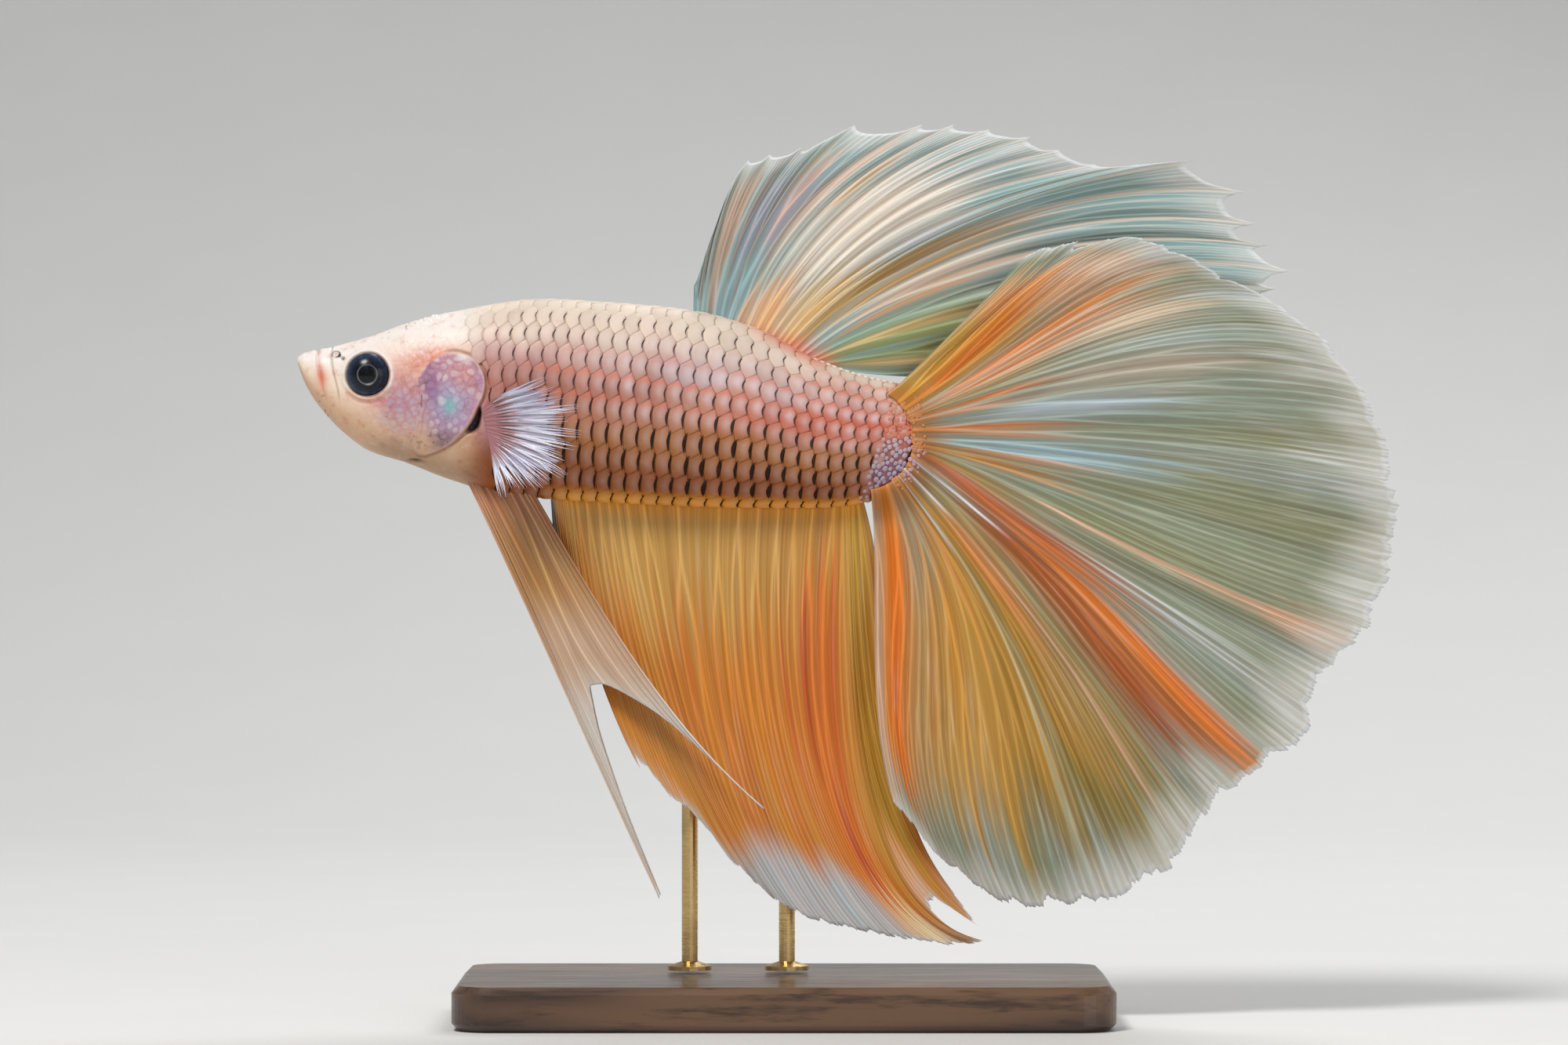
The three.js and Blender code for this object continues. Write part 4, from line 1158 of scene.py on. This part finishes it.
CAUDAL_STRIPES = [
    (GOLD, 0.95, 0.05, 0.07, -0.1, 0.55),
    (OCHRE, 0.8, 0.12, 0.025, 0.05, 0.5),
    (OCHRE, 0.7, 0.225, 0.04, -0.1, 0.4),
    (seen(208, 158, 124), 0.9, 0.09, 0.07, 0.5, 0.9),
    (seen(218, 146, 92), 0.95, 0.05, 0.035, 0.45, 0.8),
    (ORANGE, 0.9, 0.09, 0.028, 0.06, 0.6),
    (HOT, 0.95, 0.091, 0.012, 0.12, 0.57),
    (SHELL, 0.7, 0.18, 0.035, 0.12, 0.75),
    (seen(214, 190, 172), 0.85, 0.12, 0.05, 0.72, 1.0),
    (CORAL, 0.85, 0.155, 0.009, 0.05, 0.75),
    (CORAL, 0.7, 0.175, 0.005, 0.1, 0.7),
    (CORAL, 0.8, 0.195, 0.006, 0.05, 0.62),
    (seen(196, 178, 156), 0.85, 0.215, 0.025, 0.42, 0.8),
    (CORAL, 0.95, 0.283, 0.008, -0.1, 0.33),
    (CORAL, 0.8, 0.306, 0.007, 0.02, 0.32),
    (seen(196, 182, 168), 0.6, 0.29, 0.02, 0.3, 0.75),
    (ICE, 0.9, 0.328, 0.012, 0.2, 0.6),
    (CORAL, 0.95, 0.35, 0.008, -0.1, 0.33),
    (CORAL, 0.8, 0.367, 0.006, 0.05, 0.3),
    (seen(152, 182, 192), 1.0, 0.397, 0.018, 0.08, 0.54),
    (MILK, 0.5, 0.2, 0.02, 0.8, 1.2),
    (MILK, 0.6, 0.29, 0.02, 0.8, 1.2),
    (MILK, 0.5, 0.37, 0.02, 0.78, 1.2),
    (OCHRE, 0.9, 0.44, 0.03, -0.1, 0.3),
    (CORAL, 0.7, 0.412, 0.005, 0.02, 0.35),
    (CORAL, 0.7, 0.44, 0.005, 0.0, 0.32),
    (CORAL, 0.6, 0.462, 0.005, 0.05, 0.35),
    (SAGE, 0.6, 0.5, 0.09, 0.3, 0.95),
    (OCHRE, 0.7, 0.54, 0.05, -0.1, 0.3),
    (SHELL, 0.95, 0.512, 0.005, 0.3, 0.95),
    (SHELL, 0.9, 0.512, 0.014, 0.84, 1.2),
    (MILK, 0.7, 0.57, 0.006, 0.4, 0.95),
    (MILK, 0.6, 0.585, 0.004, 0.3, 0.95),
    (seen(182, 108, 44), 0.95, 0.61, 0.045, 0.08, 0.55),
    (seen(178, 86, 66), 0.9, 0.6, 0.045, -0.1, 0.15),
    (seen(150, 86, 22), 1.0, 0.673, 0.032, 0.15, 0.92),
    (seen(196, 120, 44), 0.9, 0.647, 0.013, 0.3, 1.1),
    (HOT, 0.6, 0.643, 0.007, 0.4, 1.05),
    (OCHRE, 0.95, 0.8, 0.1, 0.0, 0.88),
    (CORAL, 0.6, 0.755, 0.03, 0.08, 0.42),
    (CORAL, 0.5, 0.85, 0.022, 0.08, 0.4),
    (seen(118, 118, 78), 0.7, 0.79, 0.06, 0.7, 0.95),
    (GOLD, 0.7, 0.875, 0.05, 0.2, 0.85),
    (SAGE, 0.7, 0.712, 0.006, 0.25, 0.85),
    (SHELL, 0.6, 0.733, 0.004, 0.2, 0.9),
    (seen(178, 182, 156), 0.6, 0.812, 0.004, 0.05, 0.95),
    (SAGE, 0.6, 0.8, 0.006, 0.1, 0.8),
    (ORANGE, 0.35, 0.885, 0.008, 0.05, 0.6),
    (ORANGE, 0.35, 0.91, 0.008, 0.05, 0.7),
    (ORANGE, 1.0, 0.965, 0.032, -0.1, 0.9),
    (HOT, 0.9, 0.96, 0.01, 0.1, 0.85),
    (SHELL, 0.6, 0.995, 0.008, 0.2, 1.2),
]


def caudal_tint(q, v, n, ridge, z):
    colour = paint(flat(mix(TEAL, SAGE, 0.5), q), SAGE, 0.7 * grain(n, v, 1.4, 2.2, 92, -0.2, 0.6))
    colour = paint(colour, ICE, 0.25 * grain(n, v, 2.3, 1.3, 95, 0.1, 0.8))
    colour = lay(colour, q, v, n, CAUDAL_STRIPES)
    colour = paint(colour, AMBER, 0.7 * fall(0.0, 0.1, v))
    for place, end in ((0.667, 0.27), (0.74, 0.16), (0.815, 0.22)):
        pale_amount = bump(q, place, 0.005) * fall(end - 0.1, end, v)
        colour = paint(colour, mix(WHITE, PALE_BLUE, 0.4), pale_amount)
    return finish_fin(colour, v, n, ridge, 0.5, 0.6 * (1 - bump(q, 0.645, 0.02)))


DORSAL_STRIPES = [
    (LAGOON, 0.8, 0.03, 0.08, -0.1, 1.2),
    (BARK, 0.5, 0.1, 0.04, 0.1, 0.95),
    (BARK, 0.7, 0.168, 0.014, -0.1, 0.95),
    (BARK, 0.6, 0.19, 0.008, 0.3, 0.95),
    (SHELL, 0.5, 0.18, 0.008, 0.05, 0.95),
    (BARK, 0.7, 0.215, 0.006, 0.1, 0.95),
    (seen(138, 158, 168), 0.7, 0.25, 0.06, 0.02, 0.22),
    (seen(140, 152, 174), 0.8, 0.245, 0.03, 0.3, 0.85),
    (BARK, 0.5, 0.275, 0.008, 0.05, 0.9),
    (OCHRE, 0.6, 0.3, 0.01, 0.6, 0.98),
    (seen(152, 146, 168), 0.8, 0.325, 0.035, 0.4, 0.82),
    (SHELL, 0.6, 0.318, 0.005, 0.4, 0.95),
    (ORANGE, 0.6, 0.375, 0.01, -0.1, 0.22),
    (BARK, 0.7, 0.365, 0.008, 0.25, 0.95),
    (SHELL, 0.7, 0.38, 0.005, 0.3, 0.95),
    (seen(226, 174, 128), 0.95, 0.46, 0.09, -0.1, 0.27),
    (STRAW, 0.95, 0.64, 0.11, -0.1, 0.36),
    (PEARL, 0.9, 0.51, 0.11, 0.26, 0.76),
    (seen(162, 134, 66), 0.8, 0.412, 0.008, 0.5, 0.85),
    (WHITE, 0.7, 0.478, 0.006, 0.3, 0.97),
    (WHITE, 0.7, 0.52, 0.006, 0.27, 0.9),
    (WHITE, 0.6, 0.55, 0.005, 0.27, 0.97),
    (WHITE, 0.6, 0.6, 0.005, 0.2, 0.7),
    (seen(188, 192, 206), 0.85, 0.66, 0.035, 0.38, 0.6),
    (LAGOON, 0.9, 0.6, 0.05, 0.68, 0.97),
    (LAGOON, 0.95, 0.72, 0.06, 0.58, 1.0),
    (WHITE, 0.9, 0.688, 0.012, 0.78, 1.2),
    (OCHRE, 0.85, 0.75, 0.03, -0.1, 0.5),
    (seen(150, 132, 88), 0.7, 0.772, 0.02, 0.35, 0.58),
    (seen(206, 188, 174), 0.9, 0.825, 0.03, 0.14, 0.52),
    (GOLD, 0.8, 0.795, 0.006, 0.1, 0.5),
    (CORAL, 0.6, 0.85, 0.005, 0.1, 0.5),
    (SHELL, 0.7, 0.835, 0.004, 0.1, 0.6),
    (MOSS, 0.95, 0.93, 0.065, -0.1, 0.5),
    (STRAW, 0.6, 0.9, 0.006, 0.0, 0.4),
    (LAGOON, 0.7, 0.93, 0.012, 0.0, 0.3),
    (STRAW, 0.6, 0.965, 0.006, 0.05, 0.4),
    (LAGOON, 0.8, 0.86, 0.12, 0.62, 1.2),
]


def dorsal_tint(q, v, n, ridge, z):
    colour = paint(flat(mix(LAGOON, MILK, 0.1), q), ICE, 0.4 * grain(n, v, 1.6, 1.4, 102))
    colour = lay(colour, q, v, n, DORSAL_STRIPES)
    colour = paint(colour, SALMON, 0.75 * fall(0.0, 0.07, v) * rise(0.3, 0.7, q))
    colour = paint(colour, mix(colour, SHELL, 0.7), 0.4 * ridge * rise(0.2, 0.5, v))
    spine = np.exp(-((np.abs(((n + 0.5) % 1) - 0.5) / mix(0.11, 0.055, v)) ** 2))
    colour = paint(colour, mix(SHELL, WHITE, 0.55), 0.8 * spine * rise(0.3, 0.6, v) * rise(0.3, 0.4, q))
    colour = colour * mix(0.96, 1.08, rise(0.3, 0.45, q))[..., None]
    return finish_fin(colour, v, n, ridge, 0.4, 0.6, 0.55)


ANAL_STRIPES = [
    (seen(202, 166, 104), 0.95, 0.48, 0.4, -0.1, 0.34),
    (ORANGE, 0.6, 0.64, 0.1, 0.28, 0.68),
    (ORANGE, 0.6, 0.31, 0.03, 0.1, 0.35),
    (seen(188, 140, 88), 0.8, 0.43, 0.08, 0.5, 0.9),
    (HOT, 0.85, 0.775, 0.04, 0.12, 0.93),
    (BRICK, 0.85, 0.745, 0.008, 0.18, 0.62),
    (BRICK, 0.85, 0.793, 0.009, 0.15, 0.72),
    (BRICK, 0.9, 0.77, 0.012, 0.6, 0.96),
    (BRICK, 0.5, 0.7, 0.006, 0.3, 0.7),
    (RUST, 0.4, 0.6, 0.01, 0.4, 0.8),
    (seen(188, 154, 82), 0.95, 0.91, 0.09, -0.1, 0.85),
    (seen(238, 212, 172), 0.95, 0.785, 0.035, 0.84, 1.2),
    (SHELL, 0.6, 0.87, 0.02, 0.8, 1.2),
    (seen(86, 122, 134), 0.95, 0.0, 0.06, 0.05, 1.2),
]


def anal_tint(q, v, n, ridge, z):
    colour = paint(flat(mix(GOLD, CORAL, 0.5), q), CORAL, 0.6 * grain(n, v, 1.3, 1.2, 111, -0.3, 0.6))
    colour = lay(colour, q, v, n, ANAL_STRIPES)
    # The fin's root band: its gold, painted brighter as light against the shade under the belly.
    colour = paint(colour, seen(226, 156, 70), 0.95 * fall(0.0, 0.07, v) * rise(0.03, 0.1, q))
    colour = paint(colour, BRICK, 0.25 * grain(n, v, 2.2, 0.7, 112, 0.1, 0.8) * rise(0.25, 0.4, v))
    colour = colour * mix(0.93, 1.0, rise(0.7, 0.9, v))[..., None]
    rear = rise(0.985, 1.0, q) * fall(0.1, 0.4, v)
    colour = paint(colour, seen(90, 120, 120), 0.8 * rear)
    start = mix(0.98, 0.75, rise(0.36, 0.6, q))
    white = rise(0.0, 0.14, v + 0.05 * noise(n * 1.1, 0 * n, 113) - start) * fall(0.71, 0.76, q)
    white = white * (0.75 + 0.25 * grain(n, v, 9, 0.6, 114))
    colour = paint(colour, mix(ICE, seen(178, 200, 212), 0.7), white)
    return finish_fin(colour, v, n, ridge, 0.4, 0.2)


def pectoral_tint(q, v, n, ridge, z):
    colour = paint(flat(seen(176, 170, 194), q), seen(206, 206, 224), 0.8 * grain(n, v, 3, 1, 141, -0.3, 0.5))
    colour = paint(colour, SILK, 0.6 * rise(0.2, 0.9, ridge))
    base = fall(0.12, 0.45, v + 0.1 * noise(n * 2, 0 * n, 142))
    return paint(colour, mix(seen(168, 118, 112), VIOLET, 0.25), 0.95 * base)


def pelvic_tint(q, v, n, ridge, z):
    colour = layers(
        flat(mix(GOLD, SHELL, 0.45), q),
        (mix(RUST, PINK, 0.4), 0.6 * fall(0.0, 0.3, v)),
        (RUST, 0.4 * grain(n, v, 2.4, 1.2, 121, -0.2, 0.6) * fall(0.4, 0.8, v)),
        (OCHRE, 0.4 * spot(q, v, 0.45, 0.6, 0.2, 0.3)),
        (mix(SHELL, MILK, 0.3), 0.7 * rise(30.0, 25.0, z)),
        (mix(MILK, SHELL, 0.3) * 1.15, 0.95 * rise(24.5, 20.0, z)),
        (SHELL, 0.7 * bump(q, 0.0, 0.04)),
    )
    return finish_fin(colour * mix(0.8, 1.0, rise(0.2, 0.6, v))[..., None], v, n, ridge, 0.6, 0.2)


def fin_material(name, streak=0.2, line=(0.86, 0.8, 0.72), dark=(0.62, 0.52, 0.44), web=1.0):
    n = Nodes(name)
    place = {0: n.value("across"), 1: n.math("MULTIPLY", n.value("along"), 0.07)}
    stretched = n.new("ShaderNodeCombineXYZ", place).outputs[0]
    fine, finer = n.noise(stretched, 1.3, 3, 0.6), n.noise(stretched, 4.5)
    colour = n.blend(n.tint(), line, n.remap(fine, 0.52, 0.74, 0, streak))
    colour = n.blend(colour, dark, n.remap(finer, 0.5, 0.3, 0, streak * 1.5), "MULTIPLY")
    gap = n.remap(n.value("ray_gap"), 0.06, 0.28, 0, 0.6 * web)
    colour = n.blend(colour, (0.8, 0.76, 0.7), gap, "MULTIPLY")
    n.surface(colour, fine, 0.42, 0.58, Specular_IOR_Level=0.35)
    n.set(Normal=n.bump(n.math("ADD", fine, n.math("MULTIPLY", finer, 0.5)), 0.00005))
    n.set(Subsurface_Weight=0.2, Subsurface_Scale=0.0004, Subsurface_Radius=(1.0, 0.6, 0.4))
    return n.material


def build_strands(name, material, fin, side):
    """The silky free ends of a pectoral fin. Each of its rays splits into thin tapered threads."""
    count, threads, steps, around = PECTORAL_COUNT, 6, 30, 6
    turn = np.linspace(0, 2 * math.pi, around, endpoint=False)
    points, faces, tints = [], [], []
    for i in range(count):
        tuft = 0.8 + 0.2 * float(chance(i, 2, 57))
        for k in range(threads):
            number = threads * i + k
            v = np.linspace(0.1, tuft * (0.86 + 0.14 * float(chance(number, 1, 57))), steps)
            spread = (k - 2.5) * 0.13 * rise(0.2, 0.7, v) * (1 - 0.35 * rise(0.7, 1.0, v))
            wander = 0.16 * noise(v * 2.2, number, 58) + 0.25 * v * v * noise(i * 0.8, 0.5, 56)
            r = fin.key(clamp01((i + 0.5 + spread + wander * v) / count))
            x, y, z = fin.at(r, v)
            y = y + 0.12 + 0.2 * v * noise(v * 2, number, 59) + 0.05 * v * (k - 2.5)
            thick = 0.1 * rise(0.05, 0.35, v) * fall(0.35, 1.02, v / v[-1]) + 0.006
            slope = np.hypot(np.gradient(x), np.gradient(z)) + 1e-9
            across = np.stack([-np.gradient(z) / slope, 0 * x, np.gradient(x) / slope], -1)
            centre = np.stack([x, y, z], -1)
            depth = np.array([0, 0.6, 0])
            loops = [centre + thick[:, None] * (math.cos(a) * across + math.sin(a) * depth) for a in turn]
            tube = np.stack(loops, 1) * np.array([1, side, 1])
            index = len(points) * steps * around + np.arange(steps * around).reshape(steps, around)
            walls = quads(index, closed=True)[:, [0, 3, 2, 1]]
            block = [*walls.tolist(), index[0].tolist(), index[-1, ::-1].tolist()]
            faces += block if side > 0 else [f[::-1] for f in block]
            points.append(tube.reshape(-1, 3))
            # Painted sheen: each thread turns silk white in random stretches.
            silk_sheen = 0.5 + 0.5 * noise(i * 0.7 + 0.2 * k, v * 1.5, 60)
            colour = paint(flat(seen(176, 172, 198), v), SILK, silk_sheen)
            start = 0.08 + 0.2 * float(chance(number, 5, 57))
            colour = paint(colour, seen(178, 128, 120), 0.9 * fall(start, start + 0.25, v))
            tints.append(np.repeat(colour, around, axis=0))
    along = np.repeat(np.linspace(0.02, 0.98, steps), around)
    lanes = np.linspace(0.02, 0.98, len(points))
    uv = np.concatenate([np.stack([along, 0 * along + lane], -1) for lane in lanes])
    uv = uv[np.concatenate([np.array(f) for f in faces])]
    return make_piece(name, np.vstack(points), faces, material, "pectoral", np.vstack(tints), loop_uv=uv)


def thread_material():
    n = Nodes("pectoral_thread")
    fine = n.noise(n.position(), 3000)
    colour = n.blend(n.tint(), (0.6, 0.56, 0.68), n.remap(fine, 0.45, 0.7, 0, 0.4))
    n.surface(colour, fine, 0.25, 0.4, Normal=n.bump(fine, 0.00001))
    n.set(Subsurface_Weight=0.2, Subsurface_Scale=0.0003, Coat_Weight=0.3)
    return n.material


# ---------------------------------------------------------------- stand


def wood_material():
    n = Nodes("plinth_wood")
    stretched = n.position((0.12, 1.0, 1.0))
    grained, rings = n.noise(stretched, 1400, 5, 0.65), n.noise(stretched, 260)
    colour = n.blend((0.045, 0.02, 0.01), (0.13, 0.065, 0.03), n.remap(rings, 0.35, 0.65))
    colour = n.blend(colour, (0.018, 0.008, 0.005), n.remap(grained, 0.5, 0.3, 0, 0.8))
    n.surface(colour, grained, 0.3, 0.5)
    n.set(Normal=n.bump(grained, 0.00005, 0.4), Coat_Weight=0.3, Coat_Roughness=0.2)
    return n.material


def brass_material():
    n = Nodes("rod_brass")
    marks, stain = n.noise(n.position((1.0, 1.0, 12.0)), 900, 3, 0.6), n.noise(n.position(), 350)
    colour = n.blend((0.62, 0.43, 0.19), (0.42, 0.27, 0.12), n.remap(stain, 0.45, 0.7, 0, 0.6))
    n.surface(colour, marks, 0.2, 0.36, Metallic=1.0)
    n.set(Normal=n.bump(marks, 0.00001, 0.4))
    return n.material


# ---------------------------------------------------------------- camera, light and floor


# All in metres, apart from the sensor and lens in millimetres.
CAMERA_PLACE, SENSOR, LENS, NEAREST = (0, -0.45, 0.0336), 36, 152.83, 0.01
LIGHTS_AIM = (0, 0, 0.035)
FLOOR_FRONT, FLOOR_BEND, FLOOR_SIDE, SWEEP, WALL_TOP = -1.6, 0.25, 1.8, 0.5, 1.8


def build_camera():
    data = bpy.data.cameras.new("camera")
    data.sensor_width, data.lens, data.clip_start = SENSOR, LENS, NEAREST
    camera = bpy.data.objects.new("camera", data)
    camera.location = CAMERA_PLACE
    camera.rotation_euler = (math.pi / 2, 0, 0)
    bpy.context.scene.collection.objects.link(camera)
    bpy.context.scene.camera = camera


def area_light(name, place, size, power, colour=(1, 1, 1)):
    """A round soft light aimed at the middle of the fish."""
    data = bpy.data.lights.new(name, "AREA")
    data.shape, data.size, data.energy, data.color = "DISK", size, power, colour
    light = bpy.data.objects.new(name, data)
    light.location = place
    aim = np.array(LIGHTS_AIM) - np.array(place)
    tilt = math.atan2(math.hypot(aim[0], aim[1]), -aim[2])
    light.rotation_euler = (tilt, 0, math.atan2(aim[1], aim[0]) - math.pi / 2)
    bpy.context.scene.collection.objects.link(light)


def build_studio():
    n = Nodes("floor")
    speck = n.noise(n.position(), 60, 3)
    n.set(Base_Color=n.blend((0.72, 0.72, 0.71), (0.69, 0.69, 0.685), speck), Roughness=0.8)
    # a floor that sweeps up into a backdrop
    turn = np.linspace(0.05, math.pi / 2, 30)
    profile = [(FLOOR_FRONT, 0.0), (FLOOR_BEND, 0.0)]
    profile += [(FLOOR_BEND + SWEEP * math.sin(a), SWEEP - SWEEP * math.cos(a)) for a in turn]
    profile += [(FLOOR_BEND + SWEEP, WALL_TOP)]
    points = [(x, y, z) for y, z in profile for x in (-FLOOR_SIDE, FLOOR_SIDE)]
    faces = [[2 * i, 2 * i + 1, 2 * i + 3, 2 * i + 2] for i in range(len(profile) - 1)]
    mesh = bpy.data.meshes.new("floor")
    mesh.from_pydata(points, [], faces)
    mesh.polygons.foreach_set("use_smooth", [True] * len(faces))
    mesh.materials.append(n.material)
    floor = bpy.data.objects.new("floor", mesh)
    bpy.context.scene.collection.objects.link(floor)
    world = bpy.data.worlds.new("world")
    world.use_nodes = True
    sky = world.node_tree.nodes["Background"].inputs
    sky["Color"].default_value = (0.95, 0.97, 1.0, 1.0)
    sky["Strength"].default_value = 0.3
    bpy.context.scene.world = world
    area_light("key", (-0.16, -0.3, 0.46), 0.16, 2.3, (1.0, 0.98, 0.95))
    area_light("fill", (0.4, -0.45, 0.1), 0.4, 0.7)
    area_light("back", (0.15, 0.3, 0.4), 0.3, 1.2)
    bpy.context.scene.view_settings.view_transform = "Standard"


# ---------------------------------------------------------------- build


def build_body():
    flesh, scale = skin_material(), skin_material("scale", 0.5, 0.05, 0.2)
    mark, eye = mark_material(), eye_material()
    build_skin(flesh)
    for label, side in (("left", -1.0), ("right", 1.0)):
        build_scales(side, f"scales_{label}", scale)
        build_marks(side, f"scale_marks_{label}", mark)
        build_beads(side, f"beads_{label}", scale, CAUDAL)
        build_eye(side, f"eyeball_{label}", f"eye_{label}", eye)


def caudal_root(angle):
    angle, root = np.radians(angle), CAUDAL_ROOT
    return root["x"] + root["length"] * np.cos(angle), root["z"] + root["height"] * np.sin(angle)


def pectoral_root(share):
    return mix(-20.3, -19.7, share), mix(41.2, 38.6, share)


def pelvic_root(share):
    return mix(-21.6, -16.9, share), mix(36.8, 35.6, share)


DORSAL = Fin(DORSAL_RAYS, lambda x: (x, back_at(x) - 0.5), dorsal_sway, DORSAL_LEAN, 1.2)
CAUDAL = Fin(CAUDAL_RAYS, caudal_root, caudal_sway, CAUDAL_LEAN, 2.2)
ANAL = Fin(ANAL_RAYS, lambda x: (x, belly_at(x) + 0.5), anal_sway, ANAL_LEAN, 1.5, evenness=2.5)
PECTORAL = Fin(PECTORAL_RAYS, pectoral_root, lambda r, v: 3.5 + 2.3 * v)
PELVIC = Fin(PELVIC_RAYS, pelvic_root, lambda r, v: 0.8 + 0 * r)
PECTORAL_COUNT = 14
DORSAL_TIPS = [
    (0, 0, 0.3), (1, 0, 0.4), (1.6, 0.2, 0.4), (2, 0, 0.5), (2.45, 0.1, 0.5), (3, 0, 1.2), (4, 0, 1.1),
    (4.69, 0, 0.8), (5, 0, 0.8), (5.4, 0.2, 0.7), (5.85, 0, 0.9), (6.3, 0.5, 0.4), (6.8, 0.4, 0.3),
    (7.3, 0.3, 0.3), (8, 0, 2.1), (9, 0, 2.0), (9.62, 0, 2.0), (10.08, 0, 1.8), (11, 0, 1.3),
    (11.3, 0.2, 1), (11.6, 0, 0.5), (12, 0, 0),
]
CAUDAL_TIPS = even_tips(CAUDAL, 20, 0.5, ragged=0.3)
ANAL_TIPS = even_tips(ANAL, 26, 0.35, last=7.0, ragged=0.4) + [(r, 0, 0) for r in (7.5, 8.0, 8.5, 9.0)]
CAUDAL_BAYS = [(1.55, 0.26, 1.0), (11.6, 0.3, 1.0), (13.6, 0.2, 0.5)]
ANAL_BAYS = [(2.28, 0.24, 1.7), (2.74, 0.24, 2.0), (7.5, 0.44, 4.4)]


def build_middle_fins():
    build_fin(
        "dorsal_sail", "dorsal_fin", "pale_fin", fin_material("dorsal_membrane", 0.12), DORSAL, dorsal_tint,
        DORSAL_TIPS, across=900, branches=[0.1, 0.5, 0.75], cut=[], ray=(0.12, 0.07), ridge=0.045,
        sheet=0.05, flesh=(0.25, 1.0), pleat=0.1, skew=0.62, point=3.2,
    )
    build_fin(
        "caudal_fan", "caudal_fin", "tail_fin", fin_material("caudal_membrane"), CAUDAL, caudal_tint,
        CAUDAL_TIPS, across=1200, along=64, branches=[0.02, 0.2, 0.5], cut=[0.4, 0.3, 0.2], ray=(0.12, 0.06),
        ridge=0.035, sheet=0.05, flesh=(1.4, 1.5), pleat=0.08, notches=CAUDAL_BAYS,
    )
    build_fin(
        "anal_sail", "anal_fin", "orange_fin", fin_material("anal_membrane"), ANAL, anal_tint,
        ANAL_TIPS, across=900, branches=[0.05, 0.4], cut=[0.3, 0.2], ray=(0.11, 0.06),
        ridge=0.04, sheet=0.05, flesh=(0.2, 1.0), pleat=0.05, notches=ANAL_BAYS,
    )


def build_paired_fins():
    web = fin_material("pectoral_membrane", 0.25, (0.85, 0.84, 0.92), (0.66, 0.6, 0.68), 0.3)
    thread, pelvic_web = thread_material(), fin_material("pelvic_membrane", 0.3)
    for label, side, lean in (("left", -1.0, 0.06), ("right", 1.0, 0.018)):
        build_fin(
            f"pectoral_web_{label}", f"pectoral_fin_{label}", "pectoral", web, PECTORAL, pectoral_tint,
            even_tips(PECTORAL, PECTORAL_COUNT, 1.5, ragged=0.9), side=side, across=420, along=48,
            branches=[0.25, 0.5], cut=[0.9, 0.5], ray=(0.12, 0.06), ridge=0.02, sheet=0.03, flesh=(0.25, 0.8),
            pleat=0.06,
        )
        build_strands(f"pectoral_rays_{label}", thread, PECTORAL, side)
        build_fin(
            f"pelvic_blade_{label}", f"pelvic_fin_{label}", "orange_fin", pelvic_web, PELVIC, pelvic_tint,
            even_tips(PELVIC, 9, 0), side=side, across=220, along=70, branches=[], cut=[], ray=(0.12, 0.08),
            ridge=0.05, sheet=0.05, flesh=(0.15, 1.0), pleat=0.04, lean=lambda z, k=lean: k * (36.4 - z),
        )


build_camera()
build_studio()
build_body()
build_middle_fins()
build_paired_fins()
wood, brass = wood_material(), brass_material()
for node, material in (("stand_plinth", wood), ("stand_rod_front", brass), ("stand_rod_rear", brass)):
    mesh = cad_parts[node].data
    mesh.materials.clear()
    mesh.materials.append(material)
